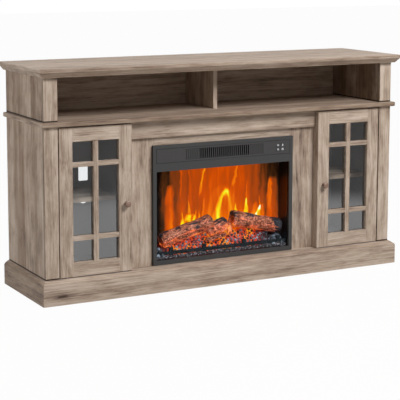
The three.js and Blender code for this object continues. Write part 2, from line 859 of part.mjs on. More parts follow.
// A log: a turned bar of uneven radius, laid between two points at one depth. The ends are given
// in shares of the case's half width and in log radii over the board, the radii in log radii.
function log([x0, z0], [x1, z1], depth, radii, phase) {
  const start = [x0 * caseInner, z0 * logRadius];
  const end = [x1 * caseInner, z1 * logRadius];
  const length = Math.hypot(end[0] - start[0], end[1] - start[1]);
  const last = radii.length - 1;
  const rim = 0.8 * logRadius;
  const profile = [new THREE.Vector2(0, 0), new THREE.Vector2(radii[0] * rim, 0)];
  radii.forEach((radius, i) => {
    const inset = i === 0 ? logEndRound : i === last ? -logEndRound : 0;
    profile.push(new THREE.Vector2(radius * logRadius, length * (i / last + inset)));
  });
  profile.push(new THREE.Vector2(radii[last] * rim, length), new THREE.Vector2(0, length));
  const geometry = new THREE.LatheGeometry(profile, 14);
  const points = geometry.attributes.position;
  for (let i = 0; i < points.count; i += 1) {
    const [x, y, z] = [points.getX(i), points.getY(i), points.getZ(i)];
    const angle = Math.atan2(z, x);
    const along = y / length;
    const knots = 0.06 * Math.sin(2 * angle + phase + 7 * along);
    const ridges = 0.05 * Math.sin(5 * angle - 2 * phase + 9 * along);
    points.setXYZ(i, x * (1 + knots + ridges), y, z * (1 + knots + ridges));
  }
  const slope = Math.atan2(end[1] - start[1], end[0] - start[0]);
  geometry.rotateZ(slope - Math.PI / 2).rotateX(Math.PI / 2);
  return geometry.translate(start[0], depth, start[1]);
}

// Places of the grate's posts, in shares of the bed's half length
const gratePosts = [-0.75, -0.26, 0.35, 0.89];

function addFireBed() {
  piece(insert, "ember_bed", surface(solid(emberBed(true))), "emberResin");
  const raised = solid(emberBed(false)).translate([0, 0, seam]);
  const logs = joined([
    log([-0.86, 2.64], [-0.07, 4.68], logDepth, [1.07, 1.04, 0.93, 0.89, 1.1], 0.4),
    log([0.2, 4.82], [0.96, 3.14], logDepth, [1.14, 1.04, 0.93, 0.96, 1.04], 2.1),
    log([-0.12, 3.57], [0.23, 3.71], logDepth + 2, [1.18, 1.21, 1.07], 4.2),
    log([-0.2, 2.28], [0.11, 3.07], twigDepth, [0.32, 0.28, 0.25], 1.1),
  ]);
  const space = block(
    [-caseInner + logSideGap, caseInner - logSideGap],
    [grateFront + grateDepth + seam, screenFront - seam],
    [caseFloor, deckFoot - seam],
  );
  piece(insert, "log_set", surface(logs.subtract(raised).intersect(solid(space))), "logResin");
  const run = [grateFront, grateFront + grateDepth];
  const top = grateFoot + grateHeight;
  const bar = block([-bedHalf, bedHalf], run, [grateFoot, top]);
  const posts = gratePosts.map((share) => {
    const x = share * bedHalf;
    const across = [x - postBlock / 2, x + postBlock / 2];
    return block(across, run, [grateFoot - postDrop, top + postRise]);
  });
  piece(insert, "grate_bar", surface(joined([bar, ...posts]).subtract(raised)), "grateBlack");
  const screenY = [screenFront, screenFront + screenThickness];
  const screenX = [-caseInner + seam, caseInner - seam];
  const screenZ = [caseFloor + seam, deckFoot - seam];
  board(insert, "flame_screen", "flameGlass", screenX, screenY, screenZ);
}

// Lights under the embers
function addLightBoard() {
  const foot = caseFloor + seam;
  const top = foot + lightThickness;
  const middle = lightFront + lightDepth / 2;
  const lights = [block([-lightHalf, lightHalf], [lightFront, lightFront + lightDepth], [foot, top])];
  const ledPitch = (lightHalf * 2) / ledCount;
  for (let i = 0; i < ledCount; i += 1) {
    const x = (i - (ledCount - 1) / 2) * ledPitch;
    const across = [x - ledSize / 2, x + ledSize / 2];
    const run = [middle - ledSize / 2, middle + ledSize / 2];
    lights.push(block(across, run, [top - lightThickness / 2, top + lightThickness]));
  }
  piece(insert, "light_board", surface(joined(lights)), "circuit");
}

// Flame spindle: a rod with mirror flags, turned slowly by a small motor
function addSpindle() {
  const motorFace = caseInner - seam - spindleMotorLength;
  const rodEnd = motorFace + spindleMotorBore - seam;
  const parts = [barX(rodRadius, -caseHalf, rodEnd, 0, 0, 12)];
  const halfFlag = (flagPitch - flagGap) / 2;
  for (let i = 0; i < flagCount; i += 1) {
    const x = (i - (flagCount - 1) / 2) * flagPitch;
    const run = [-flagThickness / 2, flagThickness / 2];
    const flag = block([x - halfFlag, x + halfFlag], run, [-flagRadius, flagRadius]);
    parts.push(flag.rotateX((i * Math.PI * 2) / 5));
  }
  const spindle = piece(insert, "flame_spindle", surface(joined(parts)), "aluminium");
  spindle.position.set(0, spindleDepth, spindleHeight);
  const motor = barX(spindleMotorRadius, motorFace, caseInner - seam, 0, 0);
  const bore = barX(rodRadius + runningGap, motorFace - overcut, motorFace + spindleMotorBore, 0, 0, 12);
  const drive = piece(insert, "spindle_motor", cut(motor, [bore]), "motorSteel");
  drive.position.set(0, spindleDepth, spindleHeight);
}

// Blower: a long bladed rotor in a scroll that opens to the slots, its motor on the right end
function addBlower() {
  const shaftEnd = housingHalf + blowerShaftReach - rotorEndGap;
  const parts = [
    barX(rodRadius, -housingHalf, shaftEnd, 0, 0, 12),
    barX(rotorRadius - bladeDepth / 2, -rotorDisc / 2, rotorDisc / 2, 0, 0, 16),
  ];
  for (const [, sign] of sides) {
    const disc = mirrored(sign, rotorLength / 2 - rotorDisc, rotorLength / 2);
    parts.push(barX(rotorRadius, disc[0], disc[1], 0, 0, 16));
  }
  const across = [-rotorLength / 2, rotorLength / 2];
  const thick = [-bladeThickness / 2, bladeThickness / 2];
  const tip = rotorRadius - bladeTip;
  for (let i = 0; i < bladeCount; i += 1) {
    const blade = block(across, thick, [tip - bladeDepth, tip]);
    parts.push(blade.rotateX((i * Math.PI * 2) / bladeCount));
  }
  const rotor = piece(insert, "fan_rotor", surface(joined(parts)), "aluminium");
  rotor.position.set(0, blowerDepth, blowerHeight);
}

// The scroll and its duct are drawn about the rotor's axis
function addHousing() {
  const across = [-housingHalf, housingHalf];
  const inside = [-scrollHalf, scrollHalf];
  const mouth = ductFront - blowerDepth;
  const duct = (wall) => [blowerDrop - ductHeight / 2 - wall, blowerDrop + ductHeight / 2 + wall];
  const intake = (wall) => [-intakeDuct / 2 - wall, intakeDuct / 2 + wall];
  const footZ = [deckTop + seam - blowerHeight, 0];
  const footY = [-scrollInner / 2, scrollInner / 2];
  const motorEnd = housingHalf + blowerMotorLength;
  const shell = joined([
    block(across, [mouth, 0], duct(scrollWall)),
    barX(scrollInner + scrollWall, -housingHalf, housingHalf, 0, 0, 28),
    block(across, [0, intakeReach], intake(scrollWall)),
    block([-housingHalf, -scrollHalf], footY, footZ),
    block([scrollHalf, housingHalf], footY, footZ),
    barX(blowerMotorRadius, housingHalf - scrollEnd / 2, motorEnd, 0, 0, 24),
  ]);
  const hollow = joined([
    block(inside, [mouth - overcut, 0], duct(0)),
    barX(scrollInner, -scrollHalf, scrollHalf, 0, 0, 28),
    block(inside, [0, intakeReach + overcut], intake(0)),
    barX(rodRadius + runningGap, -housingHalf - overcut, housingHalf + blowerShaftReach, 0, 0, 12),
  ]);
  const housing = piece(insert, "fan_housing", surface(shell.subtract(hollow)), "caseMetal");
  housing.position.set(0, blowerDepth, blowerHeight);
}

function addHeater() {
  const halfDuct = ductHeight / 2 - seam;
  const span = rotorLength - heaterInset * 2;
  const heaterPitch = span / (heaterFins - 1);
  const across = [-(span + heaterFin) / 2, (span + heaterFin) / 2];
  const run = [heaterFront, heaterFront + heaterDepth];
  const low = [stripMiddle - halfDuct, stripMiddle - halfDuct + heaterRail];
  const high = [stripMiddle + halfDuct - heaterRail, stripMiddle + halfDuct];
  const parts = [block(across, run, low), block(across, run, high)];
  for (let i = 0; i < heaterFins; i += 1) {
    const x = (i - (heaterFins - 1) / 2) * heaterPitch;
    parts.push(block([x - heaterFin / 2, x + heaterFin / 2], run, [low[0], high[1]]));
  }
  piece(insert, "heating_element", surface(joined(parts)), "ceramic");
}

addCrown();
addMidShelf();
addSides();
addCarcass();
addBackSheet();
addPlinth();
addSurround();
addDoors();
addTrim();
addControlStrip();
addKeys();
addCase();
addFireBed();
addLightBoard();
addSpindle();
addBlower();
addHousing();
addHeater();

export default stand;
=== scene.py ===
# %% [markdown]
# Fireplace TV stand, dressed for the photograph.
#
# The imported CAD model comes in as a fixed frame. This script gives each part its finish, swaps
# the plain logs and ember bed for detailed ones, and adds the small parts that a maker fits last.

import math
import random

import bmesh
import bpy
from mathutils import Matrix, Vector, noise


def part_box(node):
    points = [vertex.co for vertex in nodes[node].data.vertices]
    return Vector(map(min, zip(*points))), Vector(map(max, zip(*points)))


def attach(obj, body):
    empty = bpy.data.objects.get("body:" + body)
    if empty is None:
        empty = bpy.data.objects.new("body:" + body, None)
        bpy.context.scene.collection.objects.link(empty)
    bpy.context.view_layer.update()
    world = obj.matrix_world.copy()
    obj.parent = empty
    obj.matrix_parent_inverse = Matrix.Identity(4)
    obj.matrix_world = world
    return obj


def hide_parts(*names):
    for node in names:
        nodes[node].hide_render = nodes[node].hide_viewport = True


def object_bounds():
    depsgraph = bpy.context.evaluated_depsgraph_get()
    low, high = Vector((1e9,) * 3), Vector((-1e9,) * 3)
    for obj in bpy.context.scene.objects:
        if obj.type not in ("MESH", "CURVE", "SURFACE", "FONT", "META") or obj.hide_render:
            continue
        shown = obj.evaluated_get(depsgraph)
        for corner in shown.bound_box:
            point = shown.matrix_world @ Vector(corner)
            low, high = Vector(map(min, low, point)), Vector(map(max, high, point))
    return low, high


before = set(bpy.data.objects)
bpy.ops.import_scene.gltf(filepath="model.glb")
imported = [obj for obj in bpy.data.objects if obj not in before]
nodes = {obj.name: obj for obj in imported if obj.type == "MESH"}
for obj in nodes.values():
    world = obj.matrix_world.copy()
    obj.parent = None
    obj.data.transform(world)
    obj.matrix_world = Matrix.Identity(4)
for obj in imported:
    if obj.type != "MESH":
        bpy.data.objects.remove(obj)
cad_box = [list(corner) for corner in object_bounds()]
print("CAD box in metres:", cad_box)

# %% [markdown]
# Sizes are easier to read in millimetres, as on a drawing, so one constant turns them to metres.
# Colours are written as sRGB hex values, as in a paint program. Blender's shaders want linear
# light, so one function converts them.

# %% Units and colours
MM = 0.001


def linear(code):
    """An sRGB hex code as the linear RGBA value that shaders use."""
    channels = [int(code[i : i + 2], 16) / 255 for i in (1, 3, 5)]
    curve = [c / 12.92 if c <= 0.04045 else ((c + 0.055) / 1.055) ** 2.4 for c in channels]
    return (*curve, 1.0)


print("mid grey in linear light:", [round(c, 3) for c in linear("#808080")])

# %% [markdown]
# Every material and every Geometry Nodes tree below is wired by one small function. It adds a
# node, applies its settings, and for each input either links another node or sets a plain value.
# Inputs go by name, or in the order that Blender shows them, which suits sums.

# %% One function for nodes


def add(tree, kind, inputs=(), stops=(), **settings):
    """Adds a node, given without the prefix ShaderNode, with its settings and inputs.

    A node among the inputs stands for its first output. Stops are those of a colour ramp.
    """
    node = tree.nodes.new(kind if "Node" in kind else f"ShaderNode{kind}")
    for key, value in settings.items():
        setattr(node, key, value)
    sockets = [socket for socket in node.inputs if socket.enabled]
    if isinstance(inputs, dict):
        named = {socket.name: socket for socket in reversed(sockets)}
        sockets = [named[name] for name in inputs]
        inputs = inputs.values()
    for socket, value in zip(sockets, inputs):
        if isinstance(value, bpy.types.Node):
            value = next(output for output in value.outputs if output.enabled)
        if isinstance(value, bpy.types.NodeSocket):
            tree.links.new(value, socket)
        else:
            socket.default_value = value
    if stops:
        elements = node.color_ramp.elements
        while len(elements) < len(stops):
            elements.new(0.5)
        for element, (place, shade) in zip(elements, stops):
            element.position = place
            element.color = linear(shade) if isinstance(shade, str) else (shade, shade, shade, 1)
    return node


# %% [markdown]
# A material starts as an empty node tree with one node in it, which gives each point's place in
# metres, and ends in its output. Most end in Blender's Principled surface, so the function that
# ends them takes either a shader or that surface's inputs. A node group is a piece of wiring with
# named inputs and outputs, to be used many times.

# %% Materials and groups


def new_material(name):
    """A new material, its tree, and the place of each point on a piece that has it."""
    material = bpy.data.materials.new(name)
    material.use_nodes = True
    tree = material.node_tree
    tree.nodes.clear()
    return material, tree, add(tree, "TexCoord").outputs["Object"]


def finish(material, looks, glow=None, strength=1.0):
    """Ends a material in a shader, or in a Principled surface with these inputs and glow."""
    tree = material.node_tree
    if glow:
        looks = {**looks, "Emission Color": glow, "Emission Strength": strength}
    shader = add(tree, "BsdfPrincipled", looks) if isinstance(looks, dict) else looks
    add(tree, "OutputMaterial", {"Surface": shader})
    return material


def new_group(name, kind, inputs, outputs):
    """A node group with named inputs and outputs, and the sockets that bring its inputs."""
    group = bpy.data.node_groups.new(name, kind)
    for way, sockets in (("INPUT", inputs), ("OUTPUT", outputs)):
        for socket, sort in sockets.items():
            group.interface.new_socket(socket, in_out=way, socket_type=f"NodeSocket{sort}")
    return group, add(group, "NodeGroupInput").outputs


print("node groups at the start:", len(bpy.data.node_groups))

# %% [markdown]
# The photograph was taken from the front left, a little above the top slab. Its upright edges are
# parallel, so the lens was shifted rather than tilted. The shift is limited here so that other
# views stay framed, and a slight downward tilt makes up the rest.

# %% Camera

# Worked out from about fifty edges of the stand: place in metres, turns in degrees, lens in mm
EYE = (-2.3787, -4.4013, 1.2102)
YAW, PITCH, ROLL = 28.1158, -8.0117, 0.1096
LENS = 121.88
SHIFT = -0.15


def make_camera():
    """The camera that matches the photograph."""
    yaw, pitch, roll = (math.radians(angle) for angle in (YAW, PITCH, ROLL))
    level = math.cos(pitch)
    forward = Vector((math.sin(yaw) * level, math.cos(yaw) * level, math.sin(pitch)))
    right = Vector((math.cos(yaw), -math.sin(yaw), 0))
    up = right.cross(forward)
    side = math.cos(roll) * right + math.sin(roll) * up
    top = math.cos(roll) * up - math.sin(roll) * right
    data = bpy.data.cameras.new("camera")
    data.sensor_width = 36
    data.lens = LENS
    data.shift_y = SHIFT
    data.clip_end = 100
    camera = bpy.data.objects.new("camera", data)
    bpy.context.scene.collection.objects.link(camera)
    turn = Matrix((side, top, -forward)).transposed().to_4x4()
    camera.matrix_world = Matrix.Translation(EYE) @ turn
    bpy.context.scene.camera = camera
    return camera


camera = make_camera()
print("camera at", [round(c, 2) for c in camera.location], "lens", camera.data.lens)

# %% [markdown]
# The stand is shown on white, as in a catalogue. The floor is a real pale surface that takes the
# shadow. Seen by the camera it is mostly white, and glass and metal see that white too. In their
# mirror images the white fades about two metres from the stand, as a paper sweep does, so the
# lower door panes mirror it and the upper ones stay dark.

# %% Floor and world
bpy.context.scene.view_settings.view_transform = "Standard"

FLOOR_REACH = 20  # metres each way
FLOOR_GAP = 0.5 * MM  # under the stand's feet, so that no two faces lie in one plane
SWEEP_FROM, SWEEP_TO = 1.65, 2.2  # metres from the stand's middle
AMBIENT = 0.16


def white_for_eye(tree, shaded, share, mirrored=1.0):
    """Mixes a shaded surface with plain white for camera, transmitted and glossy rays."""
    path = add(tree, "LightPath").outputs
    rays = (path["Is Camera Ray"], path["Is Transmission Ray"])
    eye = add(tree, "Math", rays, operation="MAXIMUM")
    amount = add(tree, "Math", (eye, share), operation="MULTIPLY")
    amount = add(tree, "Math", (amount, path["Is Glossy Ray"]), operation="MAXIMUM")
    strength = add(tree, "Math", (eye, mirrored), operation="MAXIMUM")
    white = add(tree, "Emission", {"Color": (1, 1, 1, 1), "Strength": strength})
    return add(tree, "MixShader", (amount, shaded, white))


def make_floor():
    """A pale floor at the foot of the stand."""
    mesh = bpy.data.meshes.new("floor")
    corners = [(x * FLOOR_REACH, y * FLOOR_REACH, 0) for x, y in ((-1, -1), (1, -1), (1, 1), (-1, 1))]
    mesh.from_pydata(corners, [], [(0, 1, 2, 3)])
    floor = bpy.data.objects.new("floor", mesh)
    bpy.context.scene.collection.objects.link(floor)
    floor.location.z = cad_box[0][2] - FLOOR_GAP
    # Matt emulsion paint: it takes a soft shadow and mirrors nothing
    material, tree, place = new_material("studio_floor_paint")
    looks = {"Base Color": linear("#bebcb9"), "Roughness": 0.9, "Specular IOR Level": 0.1}
    paint = add(tree, "BsdfPrincipled", looks)
    away = add(tree, "VectorMath", (place,), operation="LENGTH")
    limits = (away, SWEEP_FROM, SWEEP_TO, 1.0, 0.2)
    sweep = add(tree, "MapRange", limits, interpolation_type="SMOOTHSTEP")
    mesh.materials.append(finish(material, white_for_eye(tree, paint, 0.97, sweep)))


def make_world():
    """Soft light from all round, and plain white behind the stand."""
    world = bpy.data.worlds.new("studio")
    world.use_nodes = True
    bpy.context.scene.world = world
    tree = world.node_tree
    tree.nodes.clear()
    ambient = add(tree, "Background", {"Color": linear("#fbfaf8"), "Strength": AMBIENT})
    add(tree, "OutputWorld", {"Surface": white_for_eye(tree, ambient, 1.0)})


make_floor()
make_world()
print("floor and world ready")

# %% [markdown]
# One large soft lamp stands to the front right, about 40 degrees up. At that height the top slab
# keeps it off the backs of the bays, and it falls through the door panes onto the lower part of
# the back sheet. A second one lights the top from above. A weaker lamp level with the left side
# keeps that side about a third darker than the front.

# %% Lamps
LAMP_SIZE = 1.6


def soft_lamp(name, place, power, aim=(0, 0, 0.4)):
    """A square soft lamp in metres and watts, aimed at the stand's middle unless told otherwise."""
    data = bpy.data.lights.new(name, "AREA")
    data.size = LAMP_SIZE
    data.energy = power
    lamp = bpy.data.objects.new(name, data)
    bpy.context.scene.collection.objects.link(lamp)
    lamp.location = place
    lamp.rotation_euler = (Vector(aim) - Vector(place)).to_track_quat("-Z", "Y").to_euler()


soft_lamp("key", (0.85, -3.15, 3.2), 158)
soft_lamp("top", (0.3, 0.1, 3.6), 7, aim=(0.1, 0, 0.8))
soft_lamp("fill", (-3.3, 0.3, 1.3), 30)
print("three lamps ready")

# %% [markdown]
# The stand is particle board wrapped in a printed paper foil that imitates washed oak. The print
# has soft streaks along the grain, wide darker smudges, fine dark pores and a few small knots, all
# under one even matt lacquer. One node group draws the print along its own X axis, and each board
# turns it to the board's grain and shifts it, so no two boards match.

# %% Noise that is stretched, and places that are bent


def stretched_noise(tree, place, stretch, detail, scale=1.0, roughness=0.5):
    """Noise with about this many waves in a metre along each axis, times the scale."""
    laid = add(tree, "Mapping", {"Vector": place, "Scale": stretch})
    looks = {"Vector": laid, "Scale": scale, "Detail": detail, "Roughness": roughness}
    return add(tree, "TexNoise", looks)


def bent_by(tree, place, waves, reach):
    """A place pushed off by a noise's colour, by up to half of the reach each way."""
    push = add(tree, "VectorMath", (waves.outputs["Color"], (0.5, 0.5, 0.5)), operation="SUBTRACT")
    push = add(tree, "VectorMath", (push, reach), operation="MULTIPLY")
    return add(tree, "VectorMath", (place, push), operation="ADD")


# %% Washed oak print


def make_oak_print():
    """The node group: a place in metres goes in, colour and height come out."""
    outputs = {"Colour": "Color", "Height": "Float"}
    group, ins = new_group("washed_oak_print", "ShaderNodeTree", {"Place": "Vector"}, outputs)

    # The grain wanders a little: the whole print is bent sideways by up to about 9 mm
    waves = add(group, "TexNoise", {"Vector": ins["Place"], "Scale": 3.2, "Detail": 1.0})
    bent = bent_by(group, ins["Place"], waves, (0.0, 0.035, 0.035))

    def print_noise(stretch, detail, roughness, low, high):
        """Noise stretched along the grain, spread over 0 to 1 between two limits."""
        raw = stretched_noise(group, bent, stretch, detail, roughness=roughness)
        return add(group, "MapRange", (raw, low, high))

    # Bands 70 mm wide, blotches 38 mm across, streaks 11 mm apart that break into finer ones,
    # and hairlines 4 mm apart, drawn that coarse so that they still show from 4 m
    bands = print_noise((1.0, 14, 14), 1.0, 0.5, 0.32, 0.68)
    smudges = print_noise((10, 26, 26), 4.0, 0.65, 0.32, 0.70)
    streaks = print_noise((3, 95, 95), 4.0, 0.7, 0.28, 0.72)
    hairs = print_noise((9, 260, 260), 2.0, 0.6, 0.28, 0.72)

    # Pores: dark dashes 4 mm apart, thickest in the smudges
    pores = print_noise((11, 230, 230), 2.0, 0.6, 0.42, 0.32)
    thickness = add(group, "MapRange", (smudges, 0.15, 0.6, 0.17, 0.02))
    pores = add(group, "Math", (pores, thickness), operation="MULTIPLY")

    # Knots: one every 0.5 m or so, a dark eye with a brown halo
    cells = add(group, "Mapping", {"Vector": bent, "Scale": (1.7, 3.4, 3.4)})
    looks = {"Vector": cells, "Scale": 1.0, "Randomness": 1.0}
    knots = add(group, "TexVoronoi", looks, feature="F1")
    halo = add(group, "MapRange", (knots, 0.02, 0.12, 0.22, 0.0))
    eye = add(group, "MapRange", (knots, 0.012, 0.04, 0.5, 0.0))

    # One tone from dark to light
    tone = add(group, "Math", (streaks, 0.34), operation="MULTIPLY")
    for pattern, weight in ((bands, 0.20), (smudges, 0.28), (hairs, 0.16)):
        tone = add(group, "Math", (pattern, weight, tone), operation="MULTIPLY_ADD")
    for dark in (pores, halo, eye):
        tone = add(group, "Math", (tone, dark), operation="SUBTRACT")
    tone = add(group, "MapRange", (tone, 0.02, 0.80))
    ink = [(0.0, "#4a3b31"), (0.2, "#75635a"), (0.4, "#9a8676"), (0.6, "#b3a08f"), (0.85, "#cab9aa")]
    colour = add(group, "ValToRGB", (tone,), stops=ink)
    add(group, "NodeGroupOutput", {"Colour": colour, "Height": tone})
    return group


oak_print = make_oak_print()

# %% [markdown]
# A board takes the print with its grain along X, Y or Z. The long boards carry a finer drawn
# print. The thick side panels carry one about twice as wide, in upright stripes of several tones,
# as if planks stood side by side. Each board shifts the print by its own random amount.

# %% The print on a board
UPRIGHT = (0, math.pi / 2, 0)
GRAIN = {"x": (0, 0, 0), "y": (0, 0, -math.pi / 2), "z": UPRIGHT, "side": UPRIGHT}
FINENESS = {"x": (1, 2.4, 2.4), "y": (1.3, 1, 1.3), "z": (1, 1, 1), "side": (1, 0.55, 1)}
LACQUER = {"Roughness": 0.55, "IOR": 1.5, "Specular IOR Level": 0.22}
TINT = {"data_type": "RGBA", "blend_type": "MULTIPLY"}
WHITE = "#ffffff"
SHIFT_REACH = 4  # metres each way
seeds = random.Random(17)


def oak_layer(tree, place, grain):
    """The print's colour and height, turned to one grain direction and shifted at random."""
    shift = tuple(seeds.uniform(-SHIFT_REACH, SHIFT_REACH) for _ in range(3))
    turn = {"Vector": place, "Scale": FINENESS[grain], "Rotation": GRAIN[grain], "Location": shift}
    turned = add(tree, "Mapping", turn)
    layer = add(tree, "Group", node_tree=oak_print)
    tree.links.new(turned.outputs[0], layer.inputs["Place"])
    colour = layer.outputs["Colour"]
    if grain == "side":
        # Stripes 50 to 120 mm wide
        tones = stretched_noise(tree, place, (1, 11, 0.5), 4.0)
        share = add(tree, "MapRange", (tones, 0.42, 0.60))
        colour = add(tree, "Mix", (share, colour, linear("#c2b6ab")), **TINT)
    return colour, layer.outputs["Height"]


def lacquered(material, colour, height):
    """Ends a print in the foil's matt lacquer, with pores that can just be felt."""
    pores = {"Height": height, "Strength": 0.12, "Distance": 0.6 * MM}
    bump = add(material.node_tree, "Bump", pores)
    return finish(material, {"Base Color": colour, "Normal": bump, **LACQUER})


def place_and_facing(tree, place):
    """The parts x, y and z of a point's place, and of the way that its face looks."""
    normal = add(tree, "NewGeometry").outputs["Normal"]
    return [add(tree, "SeparateXYZ", (vector,)).outputs for vector in (place, normal)]


def between(tree, value, low, high):
    """1 where a value lies between two limits, else 0."""
    above = add(tree, "Math", (value, low), operation="GREATER_THAN")
    below = add(tree, "Math", (value, high), operation="LESS_THAN")
    return add(tree, "Math", (above, below), operation="MULTIPLY")


print("grain directions:", list(GRAIN))

# %% [markdown]
# Where an upright board stands on another, the joint shows as a thin dark line: the joint itself,
# deepened by painted shade. The faces of the posts and of the plinth sides that look sideways are a
# little darker by painted shade; on the posts this is partly edge banding too, a strip of foil from
# another roll. Both are drawn in the material, because the CAD shapes stay as they are.

# %% Foil with its grain one way
LINE_BELOW, LINE_ABOVE = 1 * MM, 5 * MM  # how far the dark line reaches under and over a joint
NO_FOOT = -1.0  # a height under everything, for boards that show no joint


def with_painted_joint_shade(tree, colour, up, foot):
    """The dark line of painted shade where an upright piece stands on the board under it."""
    # Painted shade: from 1 mm under the joint to 5 mm over it the colour is darkened
    line = between(tree, up, foot - LINE_BELOW, foot + LINE_ABOVE)
    return add(tree, "Mix", (line, colour, linear("#5c554f")), **TINT)


def oak_foil(name, grain, foot=None, side_shade=WHITE):
    """Washed oak foil, grain one way, with painted shade at its foot's joint and on its sideways faces."""
    material, tree, place = new_material(name)
    colour, height = oak_layer(tree, place, grain)
    if foot is not None:
        at, to = place_and_facing(tree, place)
        # Painted shade: faces that look sideways are darkened by the side shade
        sideways = add(tree, "Math", (to[0],), operation="ABSOLUTE")
        share = add(tree, "Math", (sideways, 0.5), operation="GREATER_THAN")
        colour = add(tree, "Mix", (share, colour, linear(side_shade)), **TINT)
        colour = with_painted_joint_shade(tree, colour, at[2], foot)
    return lacquered(material, colour, height)


def top_of(name):
    """The height of a CAD node's highest point."""
    return max(vertex.co.z for vertex in nodes[name].data.vertices)


def give(name, material):
    """Makes a material the only one on a CAD node."""
    slots = nodes[name].data.materials
    slots.clear()
    slots.append(material)


GRAIN_OF = {
    "x": ["plinth_front", "frieze_board", "surround_rail"],
    "y": ["plinth_left", "plinth_right"],
    "z": ["bay_divider", "surround_stile_left", "surround_stile_right"],
}
for side in ("left", "right"):
    GRAIN_OF["x"].append(f"adjustable_shelf_{side}")
    GRAIN_OF["z"] += [f"lower_post_{side}", f"upper_post_{side}", f"upper_side_{side}"]
FOOT = {"upper": top_of("mid_shelf"), "lower": top_of("plinth_left")}
for grain, names in GRAIN_OF.items():
    for name in names:
        tier, kind = name.split("_")[:2]
        run, joints = grain, {}
        # Posts: painted shade at the foot and on sideways faces, partly edge banding; plinth sides: painted
        # shade
        if kind == "post":
            joints = {"foot": FOOT[tier], "side_shade": "#cfcbc7"}
        if kind == "side":
            run, joints = "side", {"foot": FOOT[tier]}
        if grain == "y":
            joints = {"foot": NO_FOOT, "side_shade": "#dcd6d0"}
        give(name, oak_foil(f"washed_oak_foil_{name}", run, **joints))
print("boards with foil:", sum(len(names) for names in GRAIN_OF.values()))

# %% [markdown]
# Three kinds of piece have foil with its grain two ways. On a door the stiles run upright from end
# to end and the rails lie between them. On the muntin grid the upright bar runs through. The top
# and the middle shelf are wrapped round their ends, where the grain turns to run front to back.
# A mask says which of the two grains a point has, from its place.

# %% Foil that turns
# Metres from the stand's middle: a door's rails, the upright muntin, and where the grain turns
RAILS = (0.436, 0.610)
MUNTIN = (0.514, 0.532)
TOP_END, SHELF_END = 0.7335, 0.7235


def oak_foil_two_ways(name, inside, grain_in, grain_out, edge=WHITE, upper=WHITE):
    """Foil on a framed piece: one grain where the mask is 1, another where it is 0.

    Faces towards the front take the colour edge, the upper face the colour upper: painted shade.
    """
    material, tree, place = new_material(name)
    at, to = place_and_facing(tree, place)
    mask = inside(tree, add(tree, "Math", (at[0],), operation="ABSOLUTE"))
    colour_in, height_in = oak_layer(tree, place, grain_in)
    colour_out, height_out = oak_layer(tree, place, grain_out)
    colour = add(tree, "Mix", (mask, colour_out, colour_in), data_type="RGBA")
    height = add(tree, "Mix", (mask, height_out, height_in), data_type="FLOAT")
    # Painted shade: faces looking forward, then faces looking up, are darkened by their colour
    for axis, start, full, facing_shade in ((1, -0.2, -0.6, edge), (2, 0.6, 0.9, upper)):
        share = add(tree, "MapRange", (to[axis], start, full))
        colour = add(tree, "Mix", (share, colour, linear(facing_shade)), **TINT)
    return lacquered(material, colour, height)


def on_door_rails(tree, across):
    """The rails lie between the stiles."""
    return between(tree, across, *RAILS)


def on_muntin_bars(tree, across):
    """The level bars are all but the upright one."""
    return add(tree, "Math", (1.0, between(tree, across, *MUNTIN)), operation="SUBTRACT")


def past(reach):
    """A mask of what lies further out than the reach."""

    def mask(tree, across):
        return add(tree, "Math", (across, reach), operation="GREATER_THAN")

    return mask


FRAMED = {
    # Name: the material's last name, the mask, the grain inside and outside it, and the painted
    # shade of the faces looking forward and of the upper face
    "left_door_frame": ("left_door", on_door_rails, "x", "z"),
    "left_muntin_grid": ("left_muntins", on_muntin_bars, "x", "z"),
    "right_door_frame": ("right_door", on_door_rails, "x", "z"),
    "right_muntin_grid": ("right_muntins", on_muntin_bars, "x", "z"),
    # On the top and the shelf, the front and upper faces are darkened by painted shade
    "top_slab": ("top", past(TOP_END), "y", "x", "#e6e2df", "#f6f4f2"),
    "mid_shelf": ("shelf", past(SHELF_END), "y", "x", "#dad4ce", "#e2dfdd"),
}
for name, (last_name, *foil) in FRAMED.items():
    give(name, oak_foil_two_ways(f"washed_oak_foil_{last_name}", *foil))
print("framed pieces with foil:", len(FRAMED))

# %% [markdown]
# Inside the cupboards the boards are faced with a plain grey foil, which is cheaper than the
# print. A face belongs to it by where it lies and which way it looks, so each board keeps one
# material.

# %% Grey lining
CUPBOARD_FROM = 0.395  # metres from the stand's middle


def lined_foil(name, grain, is_inside, foot=NO_FOOT):
    """Oak foil outside, plain grey foil on the faces towards a cupboard."""
    material, tree, place = new_material(name)
    oak, height = oak_layer(tree, place, grain)
    at, to = place_and_facing(tree, place)
    oak = with_painted_joint_shade(tree, oak, at[2], foot)
    cloud = add(tree, "TexNoise", {"Vector": place, "Scale": 180.0, "Detail": 3.0})
    grey = add(tree, "ValToRGB", (cloud,), stops=[(0.3, "#94949a"), (0.7, "#a2a2a7")])
    colour = add(tree, "Mix", (is_inside(tree, at, to), oak, grey), data_type="RGBA")
    return lacquered(material, colour, height)


def facing(comparison, limit):
    """A mask of faces that look away from the stand's middle, or towards it."""

    def mask(tree, at, to):
        side_of = add(tree, "Math", (at[0],), operation="SIGN")
        outwards = add(tree, "Math", (side_of, to[0]), operation="MULTIPLY")
        return add(tree, "Math", (outwards, limit), operation=comparison)

    return mask


def cupboard_floor(tree, at, to):
    """Faces that look up, under a cupboard."""
    across = add(tree, "Math", (at[0],), operation="ABSOLUTE")
    wide = add(tree, "Math", (across, CUPBOARD_FROM), operation="GREATER_THAN")
    upwards = add(tree, "Math", (to[2], 0.5), operation="GREATER_THAN")
    return add(tree, "Math", (wide, upwards), operation="MULTIPLY")


